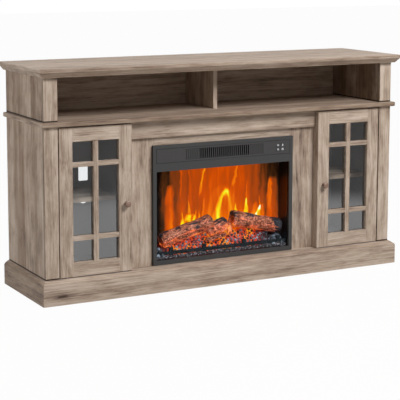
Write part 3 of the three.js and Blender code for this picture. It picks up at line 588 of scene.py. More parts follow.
facing_out, facing_in = facing("GREATER_THAN", 0.5), facing("LESS_THAN", -0.5)
LINED = {
    "partition_left": ("z", facing_out),
    "lower_side_left": ("side", facing_in, FOOT["lower"]),
    "partition_right": ("z", facing_out),
    "lower_side_right": ("side", facing_in, FOOT["lower"]),
    "bottom_board": ("x", cupboard_floor),
}
for name, foil in LINED.items():
    give(name, lined_foil(f"lined_foil_{name}", *foil))
print("boards with a grey lining:", len(LINED))

# %% [markdown]
# The back sheet is thin fibreboard. Its front is printed, with the same oak in the open bays and a
# plain grey behind the doors. Its back is raw: a brown sheet with short fibres pressed into it.

# %% Back sheet
BAYS_FROM = 0.622  # metres up, where the print changes from grey to oak


def fibreboard_printed_one_side():
    """Print on faces that look forward, raw fibreboard elsewhere."""
    material, tree, place = new_material("fibreboard_printed_one_side")
    print_colour, print_height = oak_layer(tree, place, "x")
    at, to = place_and_facing(tree, place)
    fibres = add(tree, "TexNoise", {"Vector": place, "Scale": 260.0, "Detail": 3.0})
    browns = [(0.3, "#7d6145"), (0.55, "#93754f"), (0.75, "#a88a63")]
    raw = add(tree, "ValToRGB", (fibres,), stops=browns)
    grey = add(tree, "ValToRGB", (fibres,), stops=[(0.3, "#bfbfc2"), (0.7, "#cbcbce")])
    behind_doors = add(tree, "Math", (at[2], BAYS_FROM), operation="LESS_THAN")
    printed = add(tree, "Mix", (behind_doors, print_colour, grey), data_type="RGBA")
    front = add(tree, "Math", (to[1], -0.5), operation="LESS_THAN")
    colour = add(tree, "Mix", (front, raw, printed), data_type="RGBA")
    height = add(tree, "Mix", (front, fibres, print_height), data_type="FLOAT")
    return lacquered(material, colour, height)


give("back_sheet", fibreboard_printed_one_side())
print("back sheet printed")

# %% [markdown]
# Metals and plastics come next. Each has a plain base colour, but none is perfectly even: powder
# coat has a fine orange peel, moulded plastic a spark-eroded texture, cast resin a slight mottle.
# One function makes such a finish from its colour range, grain size and gloss.

# %% Plain finishes


def mottled(
    name, dark, light, grain_mm, roughness,
    bump=0.2, metallic=0.0, stretch=(1, 1, 1), painted_wall_shade=None, specular=0.5,
):
    """A finish whose colour and surface vary by a noise of the given grain size in mm."""
    material, tree, place = new_material(name)
    grain = stretched_noise(tree, place, stretch, 3.0, 1000 / grain_mm, 0.6)
    tone = add(tree, "ValToRGB", (grain,), stops=[(0.35, dark), (0.65, light)])
    if painted_wall_shade:
        # Faces that look sideways, such as the walls of slots, are darker: painted shade
        _, to = place_and_facing(tree, place)
        sideways = add(tree, "Math", (to[0],), operation="ABSOLUTE")
        share = add(tree, "MapRange", (sideways, 0.5, 0.7))
        tone = add(tree, "Mix", (share, tone, linear(painted_wall_shade)), data_type="RGBA")
    raised = add(tree, "Bump", {"Height": grain, "Strength": bump, "Distance": grain_mm * MM * 0.2})
    looks = {"Base Color": tone, "Normal": raised, "Roughness": roughness, "Metallic": metallic}
    return finish(material, {**looks, "Specular IOR Level": specular})


# Powder-coated sheet steel: charcoal, nearly matt, with a fine orange peel
powder_coat = mottled("charcoal_powder_coated_steel", "#3f3f3f", "#464646", 3, 0.5, specular=0.2)
# ABS moulded in the same colour, a touch smoother, with painted shade on faces that look sideways
strip_abs = mottled("charcoal_moulded_abs", "#424141", "#474646", 2, 0.42, painted_wall_shade="#060606", specular=0.2)
# The keys are the same plastic, blacker and glossier, so they show on the strip
key_abs = mottled("black_moulded_abs", "#2b2d2e", "#323435", 2, 0.35)
# The case is painted black inside and out, with enough gloss to mirror the fire
black_paint = mottled("satin_black_painted_steel", "#0b0a09", "#12100e", 5, 0.3)
# Steel stained to antique bronze, so the hinges hardly show beside the dark gaps
bronze = mottled("antique_bronze_plated_steel", "#2a211b", "#3d3128", 8, 0.45, 0.05, 1.0)
# Bare rolled sheet: bright, with fine lines along it
aluminium = mottled("mill_finish_aluminium", "#b4b6b8", "#cfd1d2", 6, 0.28, 0.1, 1.0, (1, 12, 12))
# Bright zinc goes on in broad faint clouds
zinc = mottled("zinc_plated_steel", "#9a9b9a", "#b7b9b8", 12, 0.38, 0.05, 1.0)
# Nothing bright shows behind the slots, so heater and rotor are dull and nearly black: partly
# their own colour and partly painted shade
ceramic = mottled("pressed_heater_ceramic", "#1c1a18", "#282522", 4, 0.8)
black_aluminium = mottled("black_anodised_aluminium_and_painted_shade", "#0d0d0e", "#141416", 6, 0.6)
# Green lacquer over glass cloth, whose weave shows as a faint mottle
solder_mask = mottled("green_solder_mask_on_fibreglass", "#12402a", "#1a5236", 3, 0.35)
# Soft moulded rubber, dull and nearly black
rubber = mottled("moulded_black_rubber", "#151515", "#1e1e1e", 2, 0.8)
# Cast rough to look like iron, with a cool grey in its high spots
grate_plastic = mottled("slate_grey_moulded_plastic", "#171c1f", "#242c31", 9, 0.7, 0.35, specular=0.15)
# Turned hardwood stained to match the foil, its grain across the knob
knob_wood = mottled("stained_turned_hardwood", "#6d5647", "#96796a", 4, 0.4, 0.15, 0.0, (0.15, 1, 1))

FINISH_OF = {
    "insert_trim": powder_coat,
    "control_strip": strip_abs,
    "insert_case": black_paint,
    "heater_deck": black_paint,
    # The fan housing's black behind the slots is partly painted shade
    "fan_housing": black_paint,
    "spindle_motor": zinc,
    "fan_rotor": black_aluminium,
    "flame_spindle": aluminium,
    "heating_element": ceramic,
    "light_board": solder_mask,
    "key_board": solder_mask,
    "grate_bar": grate_plastic,
}
for side in ("left", "right"):
    FINISH_OF[f"{side}_knob"] = knob_wood
    for level in ("lower", "upper"):
        FINISH_OF[f"key_{level}_{side}"] = key_abs
        FINISH_OF[f"{side}_door_leaf_{level}"] = bronze
        FINISH_OF[f"{side}_post_leaf_{level}"] = bronze
for name, material in FINISH_OF.items():
    give(name, material)
print("nodes with plain finishes:", len(FINISH_OF))

# %% [markdown]
# The panes are thin, so they don't need real refraction. A clear surface that mirrors a little,
# more at a slant, looks like glass and lets the lamps light the shelves behind it. Real glass
# mirrors 4% at each of its two faces. The door panes are set to mirror more, about 16% seen
# straight on, because the photograph shows strong reflections in them. Wiping marks keep the
# gloss from being perfect. The insert's glass is coated, so it mirrors almost nothing and the
# fire shows.

# %% Glass
DOOR_MIRROR, INSERT_MIRROR = 2.35, 1.1  # index of refraction, which sets the mirror's strength


def pane(name, mirror_ior):
    """Flat glass: see-through, and glossy by its Fresnel share."""
    material, tree, place = new_material(name)
    marks = stretched_noise(tree, place, (9, 9, 2), 3.0, 2.0)
    rough = add(tree, "MapRange", (marks, 0.3, 0.7, 0.02, 0.07))
    gloss = add(tree, "BsdfGlossy", {"Color": (1, 1, 1, 1), "Roughness": rough})
    clear = add(tree, "BsdfTransparent", {"Color": linear("#fdfefe")})
    # The near face mirrors for both faces; from inside, the glass only lets light out
    behind = add(tree, "NewGeometry").outputs["Backfacing"]
    outside = add(tree, "Math", (1.0, behind), operation="SUBTRACT")
    fresnel = add(tree, "Fresnel", {"IOR": mirror_ior})
    share = add(tree, "Math", (fresnel, outside), operation="MULTIPLY")
    return finish(material, add(tree, "MixShader", (share, clear, gloss)))


door_pane = pane("clear_float_glass", DOOR_MIRROR)
give("left_door_glass", door_pane)
give("right_door_glass", door_pane)
give("insert_glass", pane("coated_toughened_glass", INSERT_MIRROR))
print("panes: 3")

# %% [markdown]
# The fire is a picture in light: a turning spindle throws moving flames on the back of a frosted
# sheet. One moment of it is drawn here. A node group makes one tongue of flame, with its foot,
# height, width and lean as inputs. Many tongues are added up as heat, the heat is bent by noise
# so that edges lick, and one ramp turns heat to colour, from brown through orange to white.

# %% Flame tongue
TONGUE_SIZES = ("Centre", "Foot", "Height", "Width", "Lean", "Point")
THIN = 0.5 * MM  # the least half width, so that nothing is divided by zero


def make_tongue():
    """The node group for one tongue; sizes are in metres, heat comes out from 0 to 1."""
    inputs = dict.fromkeys(("Across", "Up", *TONGUE_SIZES), "Float")
    group, ins = new_group("flame_tongue", "ShaderNodeTree", inputs, {"Heat": "Float"})

    # How far up the tongue a point is, from 0 at its foot to 1 at its tip, and what is left
    rise = add(group, "Math", (ins["Up"], ins["Foot"]), operation="SUBTRACT")
    rise = add(group, "Math", (rise, ins["Height"]), operation="DIVIDE")
    left = add(group, "Math", (1.0, rise), operation="SUBTRACT", use_clamp=True)

    # Half the width there, and how far inside it the point lies
    half = add(group, "Math", (left, ins["Point"]), operation="POWER")
    half = add(group, "Math", (half, ins["Width"]), operation="MULTIPLY")
    half = add(group, "Math", (half, THIN), operation="MAXIMUM")
    centre = add(group, "Math", (rise, ins["Lean"], ins["Centre"]), operation="MULTIPLY_ADD")
    away = add(group, "Math", (ins["Across"], centre), operation="SUBTRACT")
    away = add(group, "Math", (away,), operation="ABSOLUTE")
    share = add(group, "Math", (away, half), operation="DIVIDE")
    edge = add(group, "Math", (1.0, share), operation="SUBTRACT", use_clamp=True)
    edge = add(group, "Math", (edge, 2.0), operation="MULTIPLY")
    soft = add(group, "Math", (edge, 1.0, 0.3), operation="SMOOTH_MIN")

    # The foot fades in over a sixth of the height, and the tip fades out over a ninth
    foot = add(group, "Math", (rise, 0.12), operation="ADD")
    foot = add(group, "Math", (foot, 6.0), operation="MULTIPLY", use_clamp=True)
    tip = add(group, "Math", (left, 9.0), operation="MULTIPLY", use_clamp=True)
    heat = add(group, "Math", (soft, foot), operation="MULTIPLY", use_clamp=True)
    heat = add(group, "Math", (heat, tip), operation="MULTIPLY")
    add(group, "NodeGroupOutput", {"Heat": heat})
    return group


tongue = make_tongue()
print("a tongue's sizes:", TONGUE_SIZES)

# %% [markdown]
# Each tongue is one row: where its foot is, how tall and wide it is, how far its tip leans, how
# sharp it is and how hot. Under them lies an even glow, hotter in the middle of the sheet.

# %% Flames

# Centre, foot, height, half width and lean in mm, the tip's shape (small is blunt), and heat
TONGUES = [
    (-186, 190, 170, 26, -2, 0.22, 0.34),  # broad left column, hotter at its head
    (-192, 296, 62, 18, 0, 0.4, 0.10),
    (252, 190, 176, 31, 0, 0.22, 0.24),  # broad right column, hotter on its left
    (238, 200, 160, 17, 2, 0.3, 0.26),
    (-130, 200, 240, 12, 10, 0.3, 0.06),
    (-100, 250, 180, 10, -6, 0.4, 0.12),  # the stream over the left flames
    (30, 200, 150, 110, 0, 0.5, 0.07),  # the glow round the arch
    (-145, 318, 112, 5, 6, 0.3, 0.20),  # thin bright streaks near the top
    (-62, 322, 110, 6, 24, 0.3, 0.24),
    (78, 335, 80, 8, 20, 0.3, 0.18),
    (228, 282, 74, 5, 12, 0.4, 0.16),
    (-108, 198, 46, 40, 6, 0.3, 0.22),  # left flames: a broad foot with pointed licks
    (-136, 200, 56, 9, 6, 0.8, 0.24),
    (-118, 212, 46, 8, 4, 0.9, 0.18),
    (-106, 214, 92, 11, 2, 0.9, 0.24),
    (-86, 210, 52, 10, 6, 0.8, 0.26),
    (-66, 212, 44, 8, 4, 0.8, 0.22),
    (-50, 228, 80, 8, 6, 0.6, 0.12),
    (34, 190, 142, 52, 14, 0.42, 0.34),  # the arch, and the hollow under it
    (38, 190, 122, 34, 11, 0.42, -0.30),
    (-12, 206, 40, 12, 12, 0.6, 0.10),
    (92, 226, 46, 12, -2, 0.6, 0.26),
    (132, 214, 74, 16, 8, 0.5, 0.36),  # pillar with a thin tail
    (139, 262, 100, 6, 2, 0.8, 0.12),
    (170, 205, 70, 22, 6, 0.4, 0.20),
    (184, 204, 52, 18, 10, 0.6, 0.46),  # white flame
    (193, 236, 64, 8, 0, 0.6, 0.26),
    (208, 206, 56, 15, -4, 0.6, 0.24),
]
# The even glow between the flames, from the sheet's left edge to its right: x in mm and heat
GLOW = [(-238, 0.0), (-218, 0.10), (-176, 0.24), (-140, 0.36), (-96, 0.42), (-40, 0.53)]
GLOW += [(40, 0.53), (130, 0.51), (172, 0.40), (206, 0.28), (238, 0.12), (290, 0.08)]
# Heat as colour: browns, oranges, then yellows
FIRE = [(0.0, "#0b0402"), (0.12, "#3e210c"), (0.22, "#6f3310"), (0.32, "#963e10")]
FIRE += [(0.42, "#b1450b"), (0.52, "#cb4a03"), (0.60, "#df5802"), (0.68, "#ef7205"), (0.76, "#f58f0a")]
FIRE += [(0.84, "#f8bf0b"), (0.92, "#fae812"), (0.97, "#fbf44c"), (1.0, "#fffde0")]
MARGIN_FROM, MARGIN_TO = -0.236, -0.214  # the film ends short of the case's left wall


def flame_film():
    """One moment of the fire, glowing through a frosted sheet."""
    material, tree, place = new_material("flame_film_on_frosted_acrylic")
    # Slow waves 60 to 110 mm long, with fine licks about 20 mm apart on top of them
    slow = stretched_noise(tree, place, (16, 1, 9), 2.5)
    fine = stretched_noise(tree, place, (60, 1, 34), 1.0)
    bent = bent_by(tree, place, slow, (0.022, 0, 0.03))
    bent = bent_by(tree, bent, fine, (0.014, 0, 0.02))
    across, _, up = add(tree, "SeparateXYZ", (bent,)).outputs

    # The even glow, then tall soft fibres in it, and a little more heat lower down
    start, end = GLOW[0][0], GLOW[-1][0]
    share = add(tree, "MapRange", (across, start * MM, end * MM))
    levels = [((x - start) / (end - start), level) for x, level in GLOW]
    heat = add(tree, "ValToRGB", (share,), stops=levels)
    fibres = stretched_noise(tree, bent, (40, 1, 6), 3.0)
    for source, limits in ((fibres, (0.3, 0.7, -0.13, 0.10)), (up, (0.20, 0.42, 0.07, -0.04))):
        more = add(tree, "MapRange", (source, *limits))
        heat = add(tree, "Math", (heat, more), operation="ADD")
    for *sizes, point, amount in TONGUES:
        values = dict(zip(TONGUE_SIZES, [size * MM for size in sizes] + [point]))
        flame = add(tree, "Group", node_tree=tongue)
        for socket, value in values.items():
            flame.inputs[socket].default_value = value
        tree.links.new(across, flame.inputs["Across"])
        tree.links.new(up, flame.inputs["Up"])
        heat = add(tree, "Math", (flame, amount, heat), operation="MULTIPLY_ADD")
    margin = add(tree, "MapRange", (across, MARGIN_FROM, MARGIN_TO))
    heat = add(tree, "Math", (heat, margin), operation="MULTIPLY", use_clamp=True)
    looks = {"Base Color": linear("#050403"), "Roughness": 0.8, "Specular IOR Level": 0.02}
    return finish(material, looks, add(tree, "ValToRGB", (heat,), stops=FIRE))


give("flame_screen", flame_film())
print("tongues of flame:", len(TONGUES))

# %% [markdown]
# The ember bed is one vacuum-formed shell over a row of lamps, so it glows between its lumps. It
# rises towards the back in steps. A grid is laid over the profile, noise raises the lumps, a skirt
# closes it down to the case's floor, and Solidify gives the moulding its wall.

# %% A mesh from points
FRONT_Y = -169 * MM  # the posts' face; depths d below run back from it


def as_piece(name, mesh, body, smooth=False):
    """A mesh as a finished piece that rides on a body."""
    piece = bpy.data.objects.new(name, mesh)
    bpy.context.scene.collection.objects.link(piece)
    mesh.polygons.foreach_set("use_smooth", [smooth] * len(mesh.polygons))
    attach(piece, body)
    return piece


def make_piece(name, verts, faces, material, body="cabinet", smooth=False):
    """A finished piece from points and faces in metres."""
    mesh = bpy.data.meshes.new(name)
    mesh.from_pydata([tuple(v) for v in verts], [], faces)
    mesh.validate()
    mesh.materials.append(material)
    return as_piece(name, mesh, body, smooth)


def outward(piece):
    """Merges doubles and turns every face outwards."""
    work = bmesh.new()
    work.from_mesh(piece.data)
    bmesh.ops.remove_doubles(work, verts=work.verts, dist=1e-6)
    bmesh.ops.recalc_face_normals(work, faces=work.faces)
    work.to_mesh(piece.data)
    work.free()


def grid_faces(rows, columns, wrap=False):
    """Faces of a grid stored row by row; wrap joins the last column to the first."""
    faces = []
    for i in range(rows - 1):
        for j in range(columns if wrap else columns - 1):
            a, b = i * columns + j, i * columns + (j + 1) % columns
            faces.append((a, b, b + columns, a + columns))
    return faces


def part_way(value, start, length):
    """How far a value is along a stretch, from 0 to 1."""
    return min(max((value - start) / length, 0), 1)


# %% Ember bed's profile

# Depth and height in mm from its front edge to its back one
BED_PROFILE = [(39.8, 105), (43, 109), (49, 111), (58, 113), (65, 121), (76, 131), (91, 141), (103.2, 147)]
BED_FRONT, BED_BACK = BED_PROFILE[0][0], BED_PROFILE[-1][0]
BED_FOOT = 88.6
BED_HALF = 276
BANK = 26  # what lies under the logs, in the middle only, is this much higher
LUMPS = ((13, 1.7, 3.2), (5.5, 8.3, 1.6))  # width, where in the noise, and height in mm


def bed_height(x, d):
    """Height of the bed's top in mm over a place in mm."""
    for (d0, z0), (d1, z1) in zip(BED_PROFILE, BED_PROFILE[1:]):
        if d <= d1:
            break
    height = z0 + (z1 - z0) * part_way(d, d0, d1 - d0)
    # The bank rises over 18 mm from its front edge and over 60 mm from each end
    bank = part_way(d, 84, 18) * part_way(225 - abs(x - 10), 0, 60)
    height += BANK * bank * bank * (3 - 2 * bank)
    for width, slice_, lift in LUMPS:
        height += noise.noise((x / width, d / width, slice_)) * lift
    return height


print("bed's height in the middle:", round(bed_height(0, 100), 1), "mm")

# %% Ember bed


def glowing_resin():
    """Translucent resin, lit from below: bright in the cracks between crusts, dark at the ends."""
    material, tree, place = new_material("cast_ember_resin")
    # Crusts 8 mm across
    cells = add(tree, "TexVoronoi", {"Vector": place, "Scale": 125.0}, feature="DISTANCE_TO_EDGE")
    drift = add(tree, "TexNoise", {"Vector": place, "Scale": 34.0, "Detail": 2.0})
    soot = [(0.35, "#120f10"), (0.55, "#241f22"), (0.7, "#45464d")]
    crust = add(tree, "ValToRGB", (drift,), stops=soot)
    # The lamps end 60 mm short of the right end, and little light reaches the strip in front
    at = add(tree, "SeparateXYZ", (place,)).outputs
    right = add(tree, "MapRange", (at[0], 0.150, 0.215, 1.0, 0.0))
    left = add(tree, "MapRange", (at[0], -0.240, -0.195, 0.05, 1.0))
    back = add(tree, "MapRange", (at[1], FRONT_Y + 51.5 * MM, FRONT_Y + 53.5 * MM, 0.06, 1.0))
    lamps = add(tree, "Math", (right, left), operation="MULTIPLY")
    lamps = add(tree, "Math", (lamps, back), operation="MULTIPLY")
    crack = add(tree, "MapRange", (cells, 0.0, 0.3, 0.72, 0.0))
    patch = add(tree, "MapRange", (drift, 0.34, 0.62, 1.1, 0.55))
    hot = add(tree, "Math", (crack, 0.26), operation="ADD")
    hot = add(tree, "Math", (hot, patch), operation="MULTIPLY")
    hot = add(tree, "Math", (hot, lamps), operation="MULTIPLY", use_clamp=True)
    embers = [(0.0, "#050202"), (0.25, "#6c1206"), (0.45, "#c42c08"), (0.68, "#f25a0c"), (1.0, "#ffb81e")]
    looks = {"Base Color": crust, "Roughness": 0.6, "Specular IOR Level": 0.2}
    return finish(material, looks, add(tree, "ValToRGB", (hot,), stops=embers))


def make_ember_bed(columns=220, rows=40):
    """The bed as a grid whose outer rows and columns drop to its foot."""
    verts = []
    for j in range(rows):
        d = BED_FRONT + (BED_BACK - BED_FRONT) * max(j - 1, 0) / (rows - 3) if j < rows - 1 else BED_BACK
        for i in range(columns):
            x = -BED_HALF + 2 * BED_HALF * i / (columns - 1)
            on_rim = j in (0, rows - 1) or i in (0, columns - 1)
            z = BED_FOOT if on_rim else bed_height(x, d)
            verts.append((x * MM, FRONT_Y + d * MM, z * MM))
    faces = grid_faces(rows, columns)
    bed = make_piece("ember_bed_moulding", verts, faces, glowing_resin(), smooth=True)
    wall = bed.modifiers.new("wall", "SOLIDIFY")
    wall.thickness = 1.2 * MM
    wall.offset = -1
    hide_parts("ember_bed")
    return bed


bed = make_ember_bed()
print("ember bed faces:", len(bed.data.polygons))

# %% [markdown]
# Logs lie on the embers: two long ones that lean together, a split chunk in the gap and a twig.
# The real ones are cast resin, painted as bark and lit through from below. Each is swept along a
# line as rings of uneven radius, with ridges along the bark and knots. Three attributes follow
# the surface: the place in the log's own frame, which the bark pattern reads, the char, strongest
# on top, and how much lamp light comes through.

# %% Logs
RING_STEP = 1.7  # mm
SEGMENTS = 88
FULL_TURN = 2 * math.pi


def log_rings(start, end, depth, radii, seed, knots, ends, light):
    """Points of one log, ring by ring, with bark place, char and glow."""
    (x0, z0), (x1, z1) = start, end
    length = math.hypot(x1 - x0, z1 - z0)
    along = Vector(((x1 - x0) / length, 0, (z1 - z0) / length))
    side = Vector((0, 1, 0))
    up = along.cross(side) * (1 if along.cross(side).z > 0 else -1)
    rings = max(int(length / RING_STEP), 12)
    verts, bark, char, glow = [], [], [], []
    for i in range(rings + 1):
        t = i / rings
        to_end = (1 - t) * length
        place = t * (len(radii) - 1)
        k = min(int(place), len(radii) - 2)
        radius = radii[k] + (radii[k + 1] - radii[k]) * (place - k)
        end_round = min(1.0, 0.80 + 0.2 * math.sqrt(min(t, 1 - t) * length / 6))
        centre = Vector((x0, depth, z0)) + along * (t * length)
        for j in range(SEGMENTS):
            angle = FULL_TURN * j / SEGMENTS
            out = math.cos(angle) * side + math.sin(angle) * up
            # The bark: broad lumps, ridges that run along the log, and a fine grain
            wrap = Vector((math.cos(angle) * 2.2, math.sin(angle) * 2.2, t * length / 45 + seed * 7))
            ridge = noise.noise(Vector((wrap.x * 3.4, wrap.y * 3.4, wrap.z * 0.9)))
            lump = noise.noise(wrap * 0.9)
            fine = noise.noise(Vector((wrap.x * 8, wrap.y * 8, wrap.z * 3)))
            bulge = radius * end_round * (1 + 0.09 * lump) + 1.4 * ridge + 0.7 * fine
            # Char lies on top and at the ends, and light comes through from below
            burnt = out.z * 0.75 + 0.8 * noise.noise(wrap * 1.9) - 0.72
            burnt += ends[0] * max(0, 1 - t * length / 16) + ends[1] * max(0, 1 - to_end / 55)
            shaded = max(ends[1] - 1, 0) * max(0, 1 - to_end / 90)
            drift = noise.noise(wrap * 1.1 + Vector((9, 0, 0)))
            lit = light - 0.4 * shaded - 0.38 * out.z + 0.55 * drift
            for knot_t, knot_angle, size in knots:
                gap = math.hypot((t - knot_t) * length, (angle - math.radians(knot_angle)) * radius)
                rim = math.exp(-(((gap - size) / 2.0) ** 2))
                bulge += 1.6 * rim
                burnt += 1.1 * rim + (1.4 if gap < size * 0.6 else 0)
            verts.append(centre + out * bulge)
            bark.append((t * length * MM, out.y * radius * MM, math.sin(angle) * radius * MM + seed))
            char.append(burnt)
            glow.append(lit)
    return verts, bark, char, glow, rings + 1


def bark_resin():
    """Painted bark: salmon ridges, cracks that glow where lamps are below, slate-blue char."""
    material, tree, _ = new_material("cast_bark_resin")
    bark = add(tree, "Attribute", attribute_name="bark").outputs["Vector"]
    char = add(tree, "Attribute", attribute_name="char").outputs["Fac"]
    glow = add(tree, "Attribute", attribute_name="glow").outputs["Fac"]
    # Plates of bark 9 mm long and 3 mm wide, with hair cracks along them
    laid = add(tree, "Mapping", {"Vector": bark, "Scale": (110, 330, 330)})
    plates = add(tree, "TexVoronoi", {"Vector": laid, "Scale": 1.0}, feature="DISTANCE_TO_EDGE")
    crack = add(tree, "MapRange", (plates, 0.03, 0.17, 1.0, 0.0))
    hair = stretched_noise(tree, bark, (130, 560, 560), 3.0)
    wide = add(tree, "TexNoise", {"Vector": bark, "Scale": 45.0, "Detail": 2.0})
    # Ridges from red-brown to salmon; the palest turn slate blue, partly a wash and partly painted
    # highlight
    half_wide = add(tree, "Math", (wide, 0.5), operation="MULTIPLY")
    tone = add(tree, "Math", (hair, 0.7, half_wide), operation="MULTIPLY_ADD")
    tone = add(tree, "Math", (crack, -0.19, tone), operation="MULTIPLY_ADD")
    salmon = [(0.40, "#240f0b"), (0.50, "#87412a"), (0.58, "#cf7a57"), (0.67, "#e9a585"), (0.78, "#a3a8b2")]
    ridges = add(tree, "ValToRGB", (tone,), stops=salmon)
    slate = [(0.35, "#08090b"), (0.6, "#272d35"), (0.72, "#75849a")]
    burnt = add(tree, "ValToRGB", (hair,), stops=slate)
    charred = add(tree, "Math", (wide, 0.5, char), operation="MULTIPLY_ADD")
    mask = add(tree, "MapRange", (charred, 0.22, 0.42))
    colour = add(tree, "Mix", (mask, ridges, burnt), data_type="RGBA")
    # Light through the ridges is dull red; low down it breaks through the cracks, orange to yellow
    through = add(tree, "MapRange", (glow, 0.35, 0.9, 0.0, 0.8))
    open_crack = add(tree, "Math", (crack, through), operation="MULTIPLY")
    lit = add(tree, "Math", (tone, 0.56), operation="SUBTRACT")
    dull = add(tree, "Math", (glow, 0.2), operation="MULTIPLY")
    lit = add(tree, "Math", (lit, 1.2, dull), operation="MULTIPLY_ADD")
    lit = add(tree, "Math", (lit, open_crack), operation="ADD")
    clear = add(tree, "MapRange", (mask, 0.0, 1.0, 1.0, 0.05))
    lit = add(tree, "Math", (lit, clear), operation="MULTIPLY", use_clamp=True)
    fire = [(0.0, "#160503"), (0.14, "#641c0c"), (0.3, "#b6401c"), (0.5, "#f06414"), (0.8, "#ffb424")]
    looks = {"Base Color": colour, "Roughness": 0.6, "Specular IOR Level": 0.25}
    return finish(material, looks, add(tree, "ValToRGB", (lit,), stops=fire), 0.9)


# Start and end (x, z), depth, radii along it, seed, knots as share, angle and size, char at the
# two ends, and light from below
LOGS = [
    ((-234, 160), (-26, 215), 84, (27, 28, 27, 27, 29), 0.4, [(0.68, 170, 8)], (0.2, 0), 0.34),
    ((60, 219), (268, 172), 84, (31, 29, 27, 26, 27), 2.1, [(0.36, 125, 7)], (0.5, 2.0), 0.34),
    ((-42, 172), (36, 208), 80, (21, 25, 26, 22), 4.2, [(0.9, 130, 5)], (0, 0.7), 0.6),
    ((46, 162), (38, 206), 78, (13, 15, 13), 6.3, [], (0, 0.6), 0.95),
    ((-57, 150), (27, 166), 64, (8, 7.5, 6), 1.1, [], (0, 0), 0.3),
]
SCREEN = 103.4  # mm of depth; the logs are flat where they meet the flame screen


def make_logs():
    """All the logs in one mesh, each a tube of rings with two closed ends."""
    verts, faces, bark, char, glow = [], [], [], [], []
    for log in LOGS:
        points, places, burnt, lit, rings = log_rings(*log)
        base = len(verts)
        ends = [range(SEGMENTS), reversed(range((rings - 1) * SEGMENTS, rings * SEGMENTS))]
        for face in grid_faces(rings, SEGMENTS, wrap=True) + ends:
            faces.append(tuple(base + k for k in face))
        verts += [(p.x * MM, FRONT_Y + min(p.y, SCREEN) * MM, p.z * MM) for p in points]
        bark += places
        char += burnt
        glow += lit
    logs = make_piece("log_set_moulding", verts, faces, bark_resin(), smooth=True)
    places = logs.data.attributes.new("bark", "FLOAT_VECTOR", "POINT")
    places.data.foreach_set("vector", [c for place in bark for c in place])
    for name, values in (("char", char), ("glow", glow)):
        logs.data.attributes.new(name, "FLOAT", "POINT").data.foreach_set("value", values)
    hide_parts("log_set")
    return logs


logs = make_logs()
print("log faces:", len(logs.data.polygons))

# %% [markdown]
# Loose pieces lie on the bed: dark nuggets behind the grate, crushed coal in front of it, and
# a few bigger lumps in the corners. They are strewn by one Geometry Nodes tree: points on a hidden
# surface, a lump on each with its own turn and size, then noise to break the round shapes.

# %% A tree that strews lumps
SHAPE_SEED, TONE_SEED = 5, 9
FLATTEST = (0.55, 0.55, 0.55)


def make_strewn_tree():
    """Points on a surface, each with a lump of its own turn, size and tone."""
    sizes = dict.fromkeys(("Distance", "Size", "Height", "Jag", "Density"), "Float")
    inputs = {"Surface": "Geometry", **sizes, "Detail": "Int", "Seed": "Int", "Finish": "Material"}
    tree, ins = new_group("strewn_lumps", "GeometryNodeTree", inputs, {"Lumps": "Geometry"})
    spread = {"Mesh": ins["Surface"], "Distance Min": ins["Distance"], "Density Max": ins["Density"]}
    spread["Seed"] = ins["Seed"]
    points = add(tree, "GeometryNodeDistributePointsOnFaces", spread, distribute_method="POISSON")
    lump = add(tree, "GeometryNodeMeshIcoSphere", {"Radius": 1.0, "Subdivisions": ins["Detail"]})
    turns = {"Min": (0, 0, 0), "Max": (6.28, 6.28, 6.28), "Seed": ins["Seed"]}
    turn = add(tree, "FunctionNodeRandomValue", turns, data_type="FLOAT_VECTOR")
    turn = add(tree, "FunctionNodeEulerToRotation", (turn,))
    shapes = {"Min": FLATTEST, "Max": (1.0, 1.0, 1.0), "Seed": SHAPE_SEED}
    shape = add(tree, "FunctionNodeRandomValue", shapes, data_type="FLOAT_VECTOR")
    size = add(tree, "VectorMath", (shape, ins["Size"]), operation="SCALE")
    copies = {"Points": points, "Instance": lump, "Rotation": turn, "Scale": size}
    strewn = add(tree, "GeometryNodeInstanceOnPoints", copies)
    tones = {"Min": 0.0, "Max": 1.0, "Seed": TONE_SEED}
    tone = add(tree, "FunctionNodeRandomValue", tones, data_type="FLOAT")
    kept = {"Geometry": strewn, "Name": "tone", "Value": tone}
    of_each = {"domain": "INSTANCE", "data_type": "FLOAT"}
    toned = add(tree, "GeometryNodeStoreNamedAttribute", kept, **of_each)
    real = add(tree, "GeometryNodeRealizeInstances", (toned,))
    # Noise with waves as wide as a lump's radius pushes its corners in and out
    place = add(tree, "GeometryNodeInputPosition")
    grain = add(tree, "Math", (0.9, ins["Size"]), operation="DIVIDE")
    waves = add(tree, "TexNoise", {"Vector": place, "Scale": grain, "Detail": 1.0})
    push = add(tree, "VectorMath", (waves.outputs["Color"], (0.5, 0.5, 0.5)), operation="SUBTRACT")
    push = add(tree, "VectorMath", (push, ins["Jag"]), operation="SCALE")
    lift = add(tree, "CombineXYZ", {"Z": ins["Height"]})
    push = add(tree, "VectorMath", (push, lift), operation="ADD")
    moved = add(tree, "GeometryNodeSetPosition", {"Geometry": real, "Offset": push})
    done = add(tree, "GeometryNodeSetMaterial", {"Geometry": moved, "Material": ins["Finish"]})
    add(tree, "NodeGroupOutput", {"Lumps": done})
    return tree


